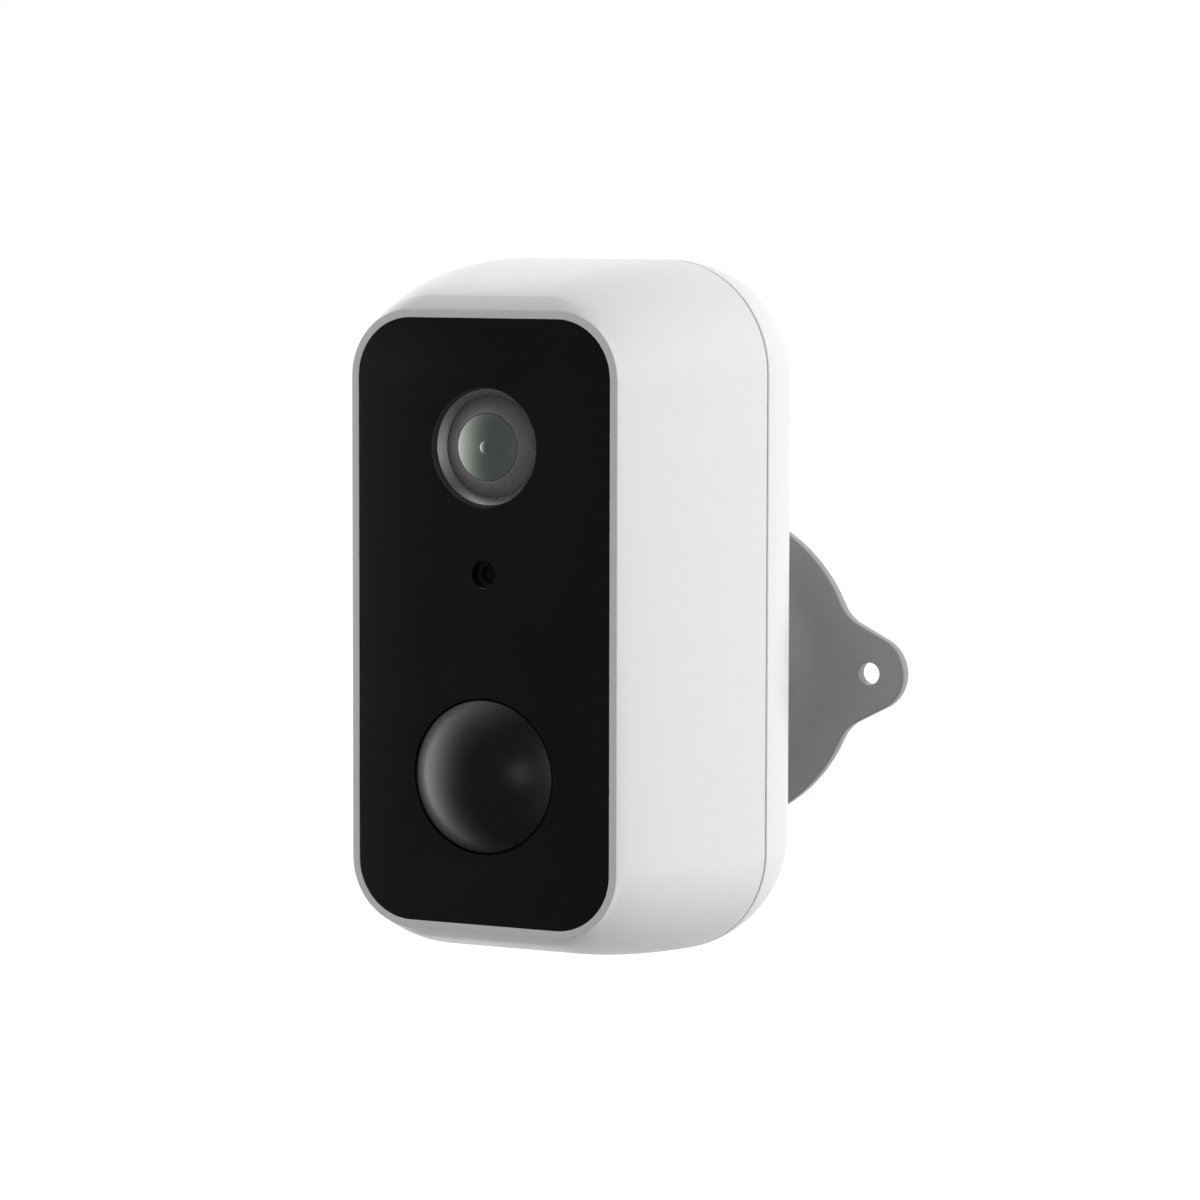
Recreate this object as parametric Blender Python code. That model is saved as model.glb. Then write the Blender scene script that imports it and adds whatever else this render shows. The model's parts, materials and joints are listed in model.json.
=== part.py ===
"""Wire-free baby monitor camera on a wall bracket, modelled as an assembly.

Frame: the origin is the centre of the wall plate's back face. +X is right as
seen from in front, +Y points into the wall, +Z is up. The camera looks along -Y.
Lengths below are in millimetres and are turned into metres when a mesh is made.
"Depth" is the distance behind the rim of the front housing, and "up" is the
height above the middle of the black front panel.
"""

import math

import bmesh
import bpy
from mathutils import Matrix, Vector

MM = 0.001

# ---- driving dimensions, in millimetres ------------------------------------
WALL_TO_RIM = 74.6        # wall surface to the rim of the front housing
PANEL_ABOVE_MOUNT = 12.3  # middle of the panel above the axis of the wall mount
GAP = 0.3                 # clearance between touching pieces

RIM_HALF_WIDTH, RIM_HALF_HEIGHT, RIM_CORNER = 21.2, 44.0, 9.45
PANEL_HALF_WIDTH, PANEL_HALF_HEIGHT, PANEL_CORNER = 20.15, 43.0, 8.45
PANEL_FACE, PANEL_BACK = 0.15, 1.85

SEAM_DEPTH = 33.5
SEAM_HALF_WIDTH, SEAM_TOP, SEAM_BOTTOM = 28.5, 50.9, 49.9
SEAM_CORNER_TOP, SEAM_CORNER_BOTTOM = 16.4, 15.0
SEAM_GAP = 0.4
FLARE_LENGTH = 37.4       # depth at which the front flare would turn straight
WIDTH_CURVE, TOP_CURVE, BOTTOM_CURVE, CORNER_CURVE = 1.25, 2.05, 1.8, 3.0

BODY_DEPTH = 53.0
BACK_INSET_WIDTH, BACK_INSET_HEIGHT, BACK_INSET_CORNER = 8.15, 5.7, 2.6
BACK_CURVE = 1.75

WALL = 2.0                # thickness of the moulded walls
FLOOR_FRONT, FLOOR_BACK = 3.0, 5.0   # wall that carries the panel
BACK_INSIDE = 50.6        # inner face of the back wall

LENS_UP, PIR_UP, MIC_UP = 24.7, -21.85, 6.8
LENS_HOLE, PIR_HOLE, MIC_HOLE = 8.45, 11.3, 1.9
PIR_DOME_RADIUS, PIR_DOME_HEIGHT, PIR_DOME_BASE = 10.95, 5.0, 0.35
PIR_DOME_WALL, PIR_FLANGE, PIR_BORE = 0.9, 12.6, 10.0
FLANGE_NEAR, FLANGE_FAR = 2.2, 3.4   # flange of the dome, held behind the panel

BEZEL_MOUTH, BEZEL_THROAT, BEZEL_FLANGE = 8.05, 7.2, 9.9
BARREL_RADIUS, BARREL_MOUTH, BARREL_BORE, BARREL_BACK = 6.85, 4.8, 3.4, 13.5
GLASS_RADIUS, GLASS_CROWN, GLASS_RIM = 4.35, 0.9, 1.5
SEAL_NEAR, SEAL_FAR, SEAL_INSET, SEAL_THICKNESS = 31.0, 36.0, 2.35, 0.85
TAPE_INSET = 0.6
BOARD = 1.2               # thickness of the circuit boards
LIGHT_BOARD = 5.4         # depth of the board that carries the infrared lights
MAIN_BOARD = 20.6         # depth of the main board
POST_RADIUS, TUBE_RADIUS = 3.2, 4.2  # screw posts in front, screw tubes behind
THREAD_RADIUS, SHANK_WAY, HEAD_WAY, HEAD_SEAT = 1.5, 1.8, 3.0, 38.0

LED_PLACES = [(side * 12.6, LENS_UP + step * 6.8) for step in (1, -1) for side in (-1, 1)]
LIGHT_SENSOR_PLACE, STATUS_LED_PLACE = (-7.0, 11.5), (7.0, 11.5)
SCREW_PLACES = [(side * 13.5, up) for up in (37.6, -37.6) for side in (-1, 1)]

MOUNT_UP = -PANEL_ABOVE_MOUNT        # the mount axis in panel heights
BALL_OUT = 10.5                      # ball centre in front of the wall
BALL_RADIUS = 5.0
PLATE_THICKNESS, PLATE_RADIUS = 2.0, 24.8
BELL_RADIUS, NECK_RADIUS = 20.0, 7.9
BELL_RISE, NECK_OUT = 6.3, 11.9      # height of the bell above the plate, end of the neck
EAR_REACH, EAR_RADIUS, EAR_HOLE_OUT, EAR_HOLE = 33.0, 5.8, 27.2, 1.7
EAR_TAPER, PLATE_FILLET = 27.0, 6.0  # degrees of the ear's flanks, fillet to the disc
SOCKET_RADIUS, CUP_RADIUS, CUP_ANGLE = 6.5, 6.2, 58.0
RING_RADIUS, RING_NEAR, GRIP_COUNT = 9.6, 8.5, 12
STUD_NECK, STUD_RADIUS, STUD_REACH = 1.6, 3.05, 18.3
NUT_RADIUS, NUT_BORE, NUT_NEAR, NUT_FAR = 7.0, 3.35, 8.8, 10.8

POWER_PLACE, RESET_PLACE = (-5.5, -29.5), (7.0, -29.5)
POWER_RADIUS, RESET_RADIUS = 4.0, 1.6
BUTTON_FLANGE, BUTTON_BACK = 0.9, 49.1
SPEAKER_UP, SPEAKER_RADIUS = 7.0, 10.0
GRILLE_COUNT, GRILLE_RING, GRILLE_HOLE = 8, 4.5, 1.0
PORT_UP = 27.5
FLAP_WIDTH, FLAP_HEIGHT, FLAP_BACK = 19.0, 9.0, 52.0
FLAP_PROUD = 0.1          # how far the flap stands out of the rear cover
PORT_HALF_WIDTH, PORT_HALF_HEIGHT, PORT_WALL = 4.7, 1.8, 0.5

CELL_RADIUS, CELL_LENGTH, CELL_DEPTH = 9.25, 65.0, 34.3

ROUND = 24                # sides of a middle-sized turned piece
SMALL_ROUND = 12


# ---- materials ----------------------------------------------------------------
PALETTE = {
    "white_shell": ((0.86, 0.86, 0.86), 0.42, 0.0),
    "bracket_metal": ((0.55, 0.57, 0.55), 0.38, 0.9),
    "black_gloss": ((0.006, 0.006, 0.006), 0.08, 0.0),
    "black_satin": ((0.02, 0.02, 0.02), 0.4, 0.0),
    "black_dome": ((0.008, 0.008, 0.008), 0.22, 0.0),
    "bezel": ((0.10, 0.11, 0.10), 0.2, 0.0),
    "glass": ((0.35, 0.40, 0.36), 0.03, 0.0),
    "rubber": ((0.05, 0.05, 0.05), 0.7, 0.0),
    "foam_tape": ((0.03, 0.03, 0.03), 0.9, 0.0),
    "circuit_board": ((0.02, 0.16, 0.06), 0.5, 0.0),
    "chip": ((0.03, 0.03, 0.035), 0.45, 0.0),
    "led_body": ((0.75, 0.75, 0.65), 0.25, 0.0),
    "steel": ((0.62, 0.62, 0.62), 0.3, 1.0),
    "brass": ((0.75, 0.58, 0.28), 0.3, 1.0),
    "cell_wrap": ((0.10, 0.25, 0.55), 0.4, 0.0),
    "nickel": ((0.72, 0.70, 0.66), 0.35, 1.0),
    "grey_plastic": ((0.30, 0.31, 0.31), 0.5, 0.0),
    "flex_film": ((0.45, 0.22, 0.05), 0.4, 0.0),
}


def finish(obj, look):
    """Give an object its own material and smooth its rounded faces."""
    colour, roughness, metallic = PALETTE[look]
    material = bpy.data.materials.new(obj.name + "_material")
    material.use_nodes = True
    shader = material.node_tree.nodes["Principled BSDF"]
    shader.inputs["Base Color"].default_value = (*colour, 1.0)
    shader.inputs["Roughness"].default_value = roughness
    shader.inputs["Metallic"].default_value = metallic
    obj.data.materials.clear()
    obj.data.materials.append(material)
    obj.data.shade_smooth()
    obj.data.set_sharp_from_angle(angle=math.radians(35))
    return obj


# ---- places and outlines ---------------------------------------------------
def place(x, depth, up):
    """World position, in metres, of a point given by x, depth and up."""
    return Vector((x, depth - WALL_TO_RIM, up + PANEL_ABOVE_MOUNT)) * MM


def outline(half_width, top, bottom, corner_top, corner_bottom, steps=5):
    """Rounded rectangle as (x, up) points, counter-clockwise as seen from -Y."""
    corners = [
        (half_width - corner_top, top - corner_top, corner_top, 0),
        (-half_width + corner_top, top - corner_top, corner_top, 90),
        (-half_width + corner_bottom, -bottom + corner_bottom, corner_bottom, 180),
        (half_width - corner_bottom, -bottom + corner_bottom, corner_bottom, 270),
    ]
    points = []
    for centre_x, centre_up, radius, start in corners:
        for step in range(steps + 1):
            angle = math.radians(start + 90 * step / steps)
            points.append((centre_x + radius * math.cos(angle), centre_up + radius * math.sin(angle)))
    return points


def growth(share, power):
    """Superellipse curve that rises from 0 to 1 and levels off."""
    return (1 - (1 - share) ** power) ** (1 / power)


def body_section(depth, inset=0.0):
    """Outline of the camera body at a depth, moved inwards by inset."""
    if depth <= SEAM_DEPTH:
        share, full = depth / FLARE_LENGTH, SEAM_DEPTH / FLARE_LENGTH
        width = growth(share, WIDTH_CURVE) / growth(full, WIDTH_CURVE)
        upper = growth(share, TOP_CURVE) / growth(full, TOP_CURVE)
        lower = growth(share, BOTTOM_CURVE) / growth(full, BOTTOM_CURVE)
        turn = growth(share, CORNER_CURVE) / growth(full, CORNER_CURVE)
        half_width = RIM_HALF_WIDTH + (SEAM_HALF_WIDTH - RIM_HALF_WIDTH) * width
        top = RIM_HALF_HEIGHT + (SEAM_TOP - RIM_HALF_HEIGHT) * upper
        bottom = RIM_HALF_HEIGHT + (SEAM_BOTTOM - RIM_HALF_HEIGHT) * lower
        corner_top = RIM_CORNER + (SEAM_CORNER_TOP - RIM_CORNER) * turn
        corner_bottom = RIM_CORNER + (SEAM_CORNER_BOTTOM - RIM_CORNER) * turn
    else:
        share = min((depth - SEAM_DEPTH) / (BODY_DEPTH - SEAM_DEPTH), 1.0)
        drop = 1 - (1 - share ** BACK_CURVE) ** (1 / BACK_CURVE)
        half_width = SEAM_HALF_WIDTH - BACK_INSET_WIDTH * drop
        top = SEAM_TOP - BACK_INSET_HEIGHT * drop
        bottom = SEAM_BOTTOM - BACK_INSET_HEIGHT * drop
        corner_top = SEAM_CORNER_TOP - BACK_INSET_CORNER * drop
        corner_bottom = SEAM_CORNER_BOTTOM - BACK_INSET_CORNER * drop
    return outline(half_width - inset, top - inset, bottom - inset,
                   corner_top - inset, corner_bottom - inset)


# ---- mesh makers ------------------------------------------------------------------
def make_object(name, bm, look):
    """Turn a bmesh into a finished object whose faces point out."""
    bmesh.ops.recalc_face_normals(bm, faces=bm.faces)
    mesh = bpy.data.meshes.new(name)
    bm.to_mesh(mesh)
    bm.free()
    obj = bpy.data.objects.new(name, mesh)
    bpy.context.scene.collection.objects.link(obj)
    return finish(obj, look)


def lofted(name, rings, look):
    """Closed body through rings of (depth, outline); the first and last are capped."""
    bm = bmesh.new()
    loops = []
    for depth, points in rings:
        loops.append([bm.verts.new(place(x, depth, up)) for x, up in points])
    count = len(loops[0])
    for near, far in zip(loops, loops[1:]):
        for i in range(count):
            j = (i + 1) % count
            bm.faces.new((near[i], near[j], far[j], far[i]))
    bm.faces.new(loops[0])
    bm.faces.new(loops[-1])
    return make_object(name, bm, look)


def ring_lofted(name, rings, look):
    """Closed band through rings of (depth, outline); the last ring joins the first."""
    bm = bmesh.new()
    loops = []
    for depth, points in rings:
        loops.append([bm.verts.new(place(x, depth, up)) for x, up in points])
    count = len(loops[0])
    for near, far in zip(loops, loops[1:] + loops[:1]):
        for i in range(count):
            j = (i + 1) % count
            bm.faces.new((near[i], near[j], far[j], far[i]))
    return make_object(name, bm, look)


def turned(name, profile, x, up, look, sides=ROUND, open_bore=False):
    """Body turned about a line along Y. profile is (depth, radius) points.

    A solid profile starts and ends at radius 0; with open_bore the profile is a
    closed loop that stays clear of the axis.
    """
    bm = bmesh.new()
    rows = []
    for depth, radius in profile:
        if radius < 1e-6:
            rows.append([bm.verts.new(place(x, depth, up))])
            continue
        row = []
        for i in range(sides):
            angle = 2 * math.pi * i / sides
            spot = place(x + radius * math.cos(angle), depth, up + radius * math.sin(angle))
            row.append(bm.verts.new(spot))
        rows.append(row)
    pairs = list(zip(rows, rows[1:]))
    if open_bore:
        pairs.append((rows[-1], rows[0]))
    for near, far in pairs:
        for i in range(sides):
            j = (i + 1) % sides
            if len(near) == 1:
                bm.faces.new((near[0], far[j], far[i]))
            elif len(far) == 1:
                bm.faces.new((near[i], near[j], far[0]))
            else:
                bm.faces.new((near[i], near[j], far[j], far[i]))
    return make_object(name, bm, look)


def disc(name, near, far, radius, x, up, look, sides=SMALL_ROUND):
    """Plain round piece between two depths."""
    return turned(name, [(near, 0), (near, radius), (far, radius), (far, 0)], x, up, look, sides)


def tube(name, near, far, radius, bore, x, up, look, sides=ROUND):
    """Round piece with a straight hole through it."""
    profile = [(near, bore), (near, radius), (far, radius), (far, bore)]
    return turned(name, profile, x, up, look, sides, open_bore=True)


def block(name, x_range, depth_range, up_range, look):
    """Rectangular piece between two corners."""
    low = place(x_range[0], depth_range[0], up_range[0])
    high = place(x_range[1], depth_range[1], up_range[1])
    bm = bmesh.new()
    bmesh.ops.create_cube(bm, size=1.0)
    size = high - low
    bmesh.ops.transform(bm, matrix=Matrix.Diagonal((*size, 1.0)), verts=bm.verts)
    bmesh.ops.translate(bm, vec=(low + high) / 2, verts=bm.verts)
    return make_object(name, bm, look)


def centred_block(name, centre, size, look):
    """Rectangular piece from its centre (x, depth, up) and full size."""
    ranges = [(middle - length / 2, middle + length / 2) for middle, length in zip(centre, size)]
    return block(name, *ranges, look)


def combine(target, tools, operation):
    """Cut tools out of the target, or join them to it, and remove the tools."""
    for tool in tools:
        modifier = target.modifiers.new(tool.name, "BOOLEAN")
        modifier.operation = operation
        modifier.solver = "EXACT"
        modifier.object = tool
        bpy.context.view_layer.update()
        graph = bpy.context.evaluated_depsgraph_get()
        result = bpy.data.meshes.new_from_object(target.evaluated_get(graph))
        target.modifiers.clear()
        target.data = result
        bpy.data.objects.remove(tool)
    result.materials.clear()
    return target


def cut(target, tools, look):
    """Cut the tools out of the target."""
    return finish(combine(target, tools, "DIFFERENCE"), look)


def join(target, tools, look):
    """Join the tools to the target as one body."""
    return finish(combine(target, tools, "UNION"), look)


def set_pivot(obj, pivot):
    """Move an object's origin to a joint's axis without moving its shape."""
    obj.data.transform(Matrix.Translation(-pivot))
    obj.location = pivot


# ---- shells -----------------------------------------------------------------------
def front_housing():
    """White front shell: flared walls, the floor behind the panel, screw posts."""
    pocket = outline(PANEL_HALF_WIDTH + GAP, PANEL_HALF_HEIGHT + GAP, PANEL_HALF_HEIGHT + GAP,
                     PANEL_CORNER + GAP, PANEL_CORNER + GAP)
    edge = SEAM_DEPTH - SEAM_GAP / 2
    outer = [(depth, body_section(depth)) for depth in (0.4, 3, 8, 15, 23, edge)]
    inner = [(depth, body_section(depth, WALL)) for depth in (edge, 22, 12, FLOOR_BACK)]
    rings = [(FLOOR_FRONT, pocket), (0, pocket), (0, body_section(0, 0.3))] + outer + inner
    shell = lofted("front_housing", rings, "white_shell")
    posts = []
    for x, up in SCREW_PLACES:
        posts.append(disc("post", FLOOR_BACK - 1, edge, POST_RADIUS, x, up, "white_shell"))
    join(shell, posts, "white_shell")
    holes = [
        disc("lens_way", 0.5, 7, 8.7, 0, LENS_UP, "white_shell", ROUND),
        disc("pir_way", 0.5, 7, 13.0, 0, PIR_UP, "white_shell", ROUND),
        disc("mic_way", 0.5, 7, 3.6, 0, MIC_UP, "white_shell"),
    ]
    for x, up in LED_PLACES:
        holes.append(disc("led_way", 0.5, 7, 2.7, x, up, "white_shell"))
    for x, up in (LIGHT_SENSOR_PLACE, STATUS_LED_PLACE):
        holes.append(disc("sensor_way", 0.5, 7, 1.8, x, up, "white_shell"))
    for x, up in SCREW_PLACES:
        holes.append(disc("thread", 22, edge + 2, THREAD_RADIUS, x, up, "white_shell", 10))
    return cut(shell, holes, "white_shell")


def grille_holes(far):
    """Cutters for the speaker's round pattern of sound holes."""
    spots = [(0.0, 0.0)]
    for i in range(GRILLE_COUNT):
        angle = 2 * math.pi * i / GRILLE_COUNT
        spots.append((GRILLE_RING * math.cos(angle), GRILLE_RING * math.sin(angle)))
    holes = []
    for x, up in spots:
        height = SPEAKER_UP + up
        holes.append(disc("sound_way", BACK_INSIDE - 1, far, GRILLE_HOLE, x, height, "white_shell", 8))
    return holes


def rear_cover():
    """White rear shell with button holes, speaker grille, port opening and screw tubes."""
    start = SEAM_DEPTH + SEAM_GAP / 2
    past = BODY_DEPTH + 2
    inner = [(depth, body_section(depth, WALL)) for depth in (BACK_INSIDE, 48, 42, start)]
    outer = [(depth, body_section(depth)) for depth in (start, 40, 45, 49, 51.5, BODY_DEPTH)]
    shell = lofted("rear_cover", inner + outer, "white_shell")
    additions = [disc("insert_boss", 44.2, BACK_INSIDE + 1, 7.0, 0, MOUNT_UP, "white_shell", ROUND)]
    for x, up in SCREW_PLACES:
        additions.append(disc("screw_tube", start, BACK_INSIDE + 1, TUBE_RADIUS, x, up, "white_shell"))
    join(shell, additions, "white_shell")
    recess = (FLAP_WIDTH / 2 + GAP, FLAP_HEIGHT / 2 + GAP)
    holes = [
        disc("insert_pocket", 44.9, past, 4.8, 0, MOUNT_UP, "white_shell", ROUND),
        disc("power_way", 45, past, POWER_RADIUS + GAP, *POWER_PLACE, "white_shell", ROUND),
        disc("reset_way", 45, past, RESET_RADIUS + GAP, *RESET_PLACE, "white_shell"),
        block("flap_recess", (-recess[0], recess[0]), (FLAP_BACK - GAP, past),
              (PORT_UP - recess[1], PORT_UP + recess[1]), "white_shell"),
        block("port_way", (-5.2, 5.2), (46, past), (PORT_UP - 2.3, PORT_UP + 2.3), "white_shell"),
    ]
    for x, up in SCREW_PLACES:
        holes.append(disc("screw_way", start - 2, HEAD_SEAT + 2, SHANK_WAY, x, up, "white_shell", 10))
        holes.append(disc("head_way", HEAD_SEAT, past, HEAD_WAY, x, up, "white_shell"))
    return cut(shell, holes + grille_holes(past), "white_shell")


def seal_ring():
    """Rubber band that closes the seam from inside."""
    inside = SEAL_INSET + SEAL_THICKNESS
    rings = []
    for depth, inset in ((SEAL_NEAR, SEAL_INSET), (SEAL_FAR, SEAL_INSET), (SEAL_FAR, inside),
                         (SEAL_NEAR, inside)):
        rings.append((depth, body_section(depth, inset)))
    return ring_lofted("seal_ring", rings, "rubber")


# ---- front panel --------------------------------------------------------------
def front_panel():
    """Gloss black panel with the lens, motion sensor and microphone holes."""
    face = outline(PANEL_HALF_WIDTH, PANEL_HALF_HEIGHT, PANEL_HALF_HEIGHT, PANEL_CORNER, PANEL_CORNER, 6)
    panel = lofted("front_panel", [(PANEL_FACE, face), (PANEL_BACK, face)], "black_gloss")
    holes = [
        disc("lens_cut", -1, 3, LENS_HOLE, 0, LENS_UP, "black_gloss", 32),
        disc("pir_cut", -1, 3, PIR_HOLE, 0, PIR_UP, "black_gloss", 36),
        disc("mic_cut", -1, 3, MIC_HOLE, 0, MIC_UP, "black_gloss", 16),
    ]
    return cut(panel, holes, "black_gloss")


def panel_tape():
    """Foam tape frame that holds the panel on the housing."""
    near, far = PANEL_BACK + GAP, FLOOR_FRONT - GAP
    half_width, half_height = PANEL_HALF_WIDTH - TAPE_INSET, PANEL_HALF_HEIGHT - TAPE_INSET
    corner = PANEL_CORNER - TAPE_INSET
    face = outline(half_width, half_height, half_height, corner, corner, 4)
    tape = lofted("panel_tape", [(near, face), (far, face)], "foam_tape")
    holes = [
        disc("lens_cut", 0, 5, 10.4, 0, LENS_UP, "foam_tape", ROUND),
        disc("pir_cut", 0, 5, 13.2, 0, PIR_UP, "foam_tape", ROUND),
        disc("mic_cut", 0, 5, 3.8, 0, MIC_UP, "foam_tape"),
    ]
    for x, up in LED_PLACES:
        holes.append(disc("led_cut", 0, 5, 2.9, x, up, "foam_tape", 12))
    for x, up in (LIGHT_SENSOR_PLACE, STATUS_LED_PLACE):
        holes.append(disc("sensor_cut", 0, 5, 1.8, x, up, "foam_tape", 12))
    return cut(tape, holes, "foam_tape")


# ---- lens and picture sensor -------------------------------------------------
def lens_group():
    """Bezel, barrel, glass, stop, holder, filter, picture sensor and its board."""
    mouth, flange_near, flange_far, bezel_back = 1.8, 2.2, 2.75, 8.0
    outside = BEZEL_MOUTH + 0.1
    bezel = [(mouth, BEZEL_MOUTH), (2.55, BEZEL_THROAT), (bezel_back, BEZEL_THROAT),
             (bezel_back, outside - 0.05), (flange_far, outside - 0.05), (flange_far, BEZEL_FLANGE),
             (flange_near, BEZEL_FLANGE), (flange_near, outside), (mouth, outside)]
    turned("lens_bezel", bezel, 0, LENS_UP, "bezel", ROUND, open_bore=True)
    collar, glass_seat, step_radius = 9.2, 4.4, 6.0
    barrel = [(2.7, BARREL_RADIUS), (GLASS_RIM + 0.05, BARREL_MOUTH), (glass_seat, BARREL_MOUTH - 0.1),
              (glass_seat, BARREL_BORE), (BARREL_BACK, BARREL_BORE), (BARREL_BACK, step_radius),
              (collar, step_radius), (collar - 0.4, BARREL_RADIUS)]
    turned("lens_barrel", barrel, 0, LENS_UP, "black_satin", ROUND, open_bore=True)
    glass_ball = (GLASS_RADIUS ** 2 + (GLASS_RIM - GLASS_CROWN) ** 2) / (2 * (GLASS_RIM - GLASS_CROWN))
    front = []
    for i in range(5):
        radius = GLASS_RADIUS * i / 4
        front.append((GLASS_CROWN + glass_ball - math.sqrt(glass_ball ** 2 - radius ** 2), radius))
    front += [(glass_seat - GAP, GLASS_RADIUS), (glass_seat - GAP, 0)]
    turned("lens_front_glass", front, 0, LENS_UP, "glass", 24)
    tube("iris_plate", 6.2, 6.6, 3.1, 0.9, 0, LENS_UP, "black_satin", SMALL_ROUND)
    rear = [(8.4, 0), (8.6, 1.6), (9.0, 3.0), (10.2, 3.0), (10.6, 1.6), (10.8, 0)]
    turned("lens_rear_glass", rear, 0, LENS_UP, "glass", SMALL_ROUND)
    holder = centred_block("lens_holder", (0, 14.2, LENS_UP), (16, 8.4, 16), "black_satin")
    chamber = [
        disc("barrel_way", 8, 15, 6.3, 0, LENS_UP, "black_satin", ROUND),
        centred_block("sensor_room", (0, 17, LENS_UP), (10.4, 5, 10.4), "black_satin"),
    ]
    cut(holder, chamber, "black_satin")
    centred_block("ir_cut_filter", (0, 15.4, LENS_UP), (9.6, 0.5, 9.6), "glass")
    centred_block("image_sensor", (0, 17.7, LENS_UP), (8, 1.2, 7), "chip")
    centred_block("camera_board", (0, 19.3, LENS_UP), (22, BOARD, 22), "circuit_board")


# ---- night light, microphone and motion sensor --------------------------
def light_group():
    """Board behind the floor wall with the infrared lights, sensors and microphone."""
    lights_back = LIGHT_BOARD - GAP
    depths = (LIGHT_BOARD, LIGHT_BOARD + BOARD)
    board = block("led_board", (-15.8, 15.8), depths, (2.0, 33.4), "circuit_board")
    ways = [
        disc("lens_cut", 4, 8, 9.2, 0, LENS_UP, "circuit_board", ROUND),
        disc("mic_cut", 4, 8, 0.8, 0, MIC_UP, "circuit_board", 12),
    ]
    cut(board, ways, "circuit_board")
    for number, (x, up) in enumerate(LED_PLACES, start=1):
        dome = [(3.3, 0), (3.5, 0.9), (4.0, 1.5), (4.4, 1.6), (4.4, 2.0), (lights_back, 2.0),
                (lights_back, 0)]
        turned(f"infrared_led_{number}", dome, x, up, "led_body", SMALL_ROUND)
    disc("light_sensor", 3.6, lights_back, 1.4, *LIGHT_SENSOR_PLACE, "glass", 12)
    disc("status_led", 3.6, lights_back, 1.4, *STATUS_LED_PLACE, "led_body", 12)
    tube("microphone_gasket", PANEL_BACK + GAP, lights_back, 3.2, 1.4, 0, MIC_UP, "rubber", 24)
    centred_block("microphone", (0, 7.6, MIC_UP), (4.2, 1.4, 3.4), "steel")
    block("led_cable", (13.6, 14.0), (6.9, 20.3), (12, 22), "flex_film")


def motion_group():
    """Motion sensor: dome lens, clamp ring, sensor can and board."""
    outer_ball = (PIR_DOME_RADIUS ** 2 + PIR_DOME_HEIGHT ** 2) / (2 * PIR_DOME_HEIGHT)
    inner_ball = outer_ball - PIR_DOME_WALL
    middle = PIR_DOME_BASE - PIR_DOME_HEIGHT + outer_ball
    edge_angle = math.asin(PIR_DOME_RADIUS / outer_ball)
    steps = 5
    profile = []
    for i in range(steps + 1):
        angle = edge_angle * i / steps
        profile.append((middle - outer_ball * math.cos(angle), outer_ball * math.sin(angle)))
    profile += [(FLANGE_NEAR, PIR_DOME_RADIUS), (FLANGE_NEAR, PIR_FLANGE), (FLANGE_FAR, PIR_FLANGE),
                (FLANGE_FAR, PIR_BORE)]
    inner_edge = math.asin(PIR_BORE / inner_ball)
    for i in range(3, -1, -1):
        angle = inner_edge * i / 3
        profile.append((middle - inner_ball * math.cos(angle), inner_ball * math.sin(angle)))
    turned("pir_dome_lens", profile, 0, PIR_UP, "black_dome", 32)
    clamp_near, floor_side, clamp_far = FLANGE_FAR + GAP, FLOOR_BACK + GAP, 6.5
    clamp_bore, clamp_radius = PIR_BORE + 0.2, 14.6
    clamp = [(clamp_near, clamp_bore), (clamp_near, PIR_FLANGE), (floor_side, PIR_FLANGE),
             (floor_side, clamp_radius), (clamp_far, clamp_radius), (clamp_far, clamp_bore)]
    turned("pir_clamp_ring", clamp, 0, PIR_UP, "grey_plastic", ROUND, open_bore=True)
    can_near, can_base, can_far, can_radius, base_radius = 12.6, 16.6, 17.2, 4.0, 4.6
    can = [(can_near, 0), (can_near, can_radius), (can_base, can_radius), (can_base, base_radius),
           (can_far, base_radius), (can_far, 0)]
    turned("pir_sensor", can, 0, PIR_UP, "steel", SMALL_ROUND)
    centred_block("pir_board", (0, can_far + GAP + BOARD / 2, PIR_UP), (20, BOARD, 18), "circuit_board")


# ---- main electronics and battery --------------------------------------------
def electronics():
    """Main board, shield, antenna, speaker and the boards behind the rear buttons."""
    block("main_board", (-18, 18), (MAIN_BOARD, MAIN_BOARD + 1.4), (-33, 33), "circuit_board")
    block("shield_can", (-9, 9), (MAIN_BOARD - GAP - 2.2, MAIN_BOARD - GAP), (-9, 9), "steel")
    block("wifi_antenna", (-15, 15), (20, 28), (44.4, 45.0), "flex_film")
    magnet_near, basket_near, rim_far, magnet_radius = 46.0, 47.4, 50.2, 7.0
    cone = [(magnet_near, 0), (magnet_near, magnet_radius), (basket_near, magnet_radius),
            (basket_near, SPEAKER_RADIUS), (rim_far, SPEAKER_RADIUS), (rim_far, SPEAKER_RADIUS - 1.2),
            (rim_far - 0.8, SPEAKER_RADIUS - 1.6), (rim_far - 1.6, 3.0), (rim_far - 1.2, 0)]
    turned("speaker", cone, 0, SPEAKER_UP, "black_satin", ROUND)
    block("button_board", (-12, 12), (44.2, 45.2), (-33.0, -24.0), "circuit_board")
    for name, (x, up) in (("power_switch", POWER_PLACE), ("reset_switch", RESET_PLACE)):
        centred_block(name, (x, 47.0, up), (6, 3.0, 6), "chip")
    block("charge_board", (-8.8, 8.8), (44.0, 45.0), (PORT_UP - 4.4, PORT_UP + 4.4), "circuit_board")
    port = block("charge_port", (-PORT_HALF_WIDTH, PORT_HALF_WIDTH), (45.3, 50.5),
                 (PORT_UP - PORT_HALF_HEIGHT, PORT_UP + PORT_HALF_HEIGHT), "steel")
    room_width, room_height = PORT_HALF_WIDTH - PORT_WALL, PORT_HALF_HEIGHT - PORT_WALL
    socket = block("socket", (-room_width, room_width), (46.5, 52),
                   (PORT_UP - room_height, PORT_UP + room_height), "steel")
    cut(port, [socket], "steel")


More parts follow.
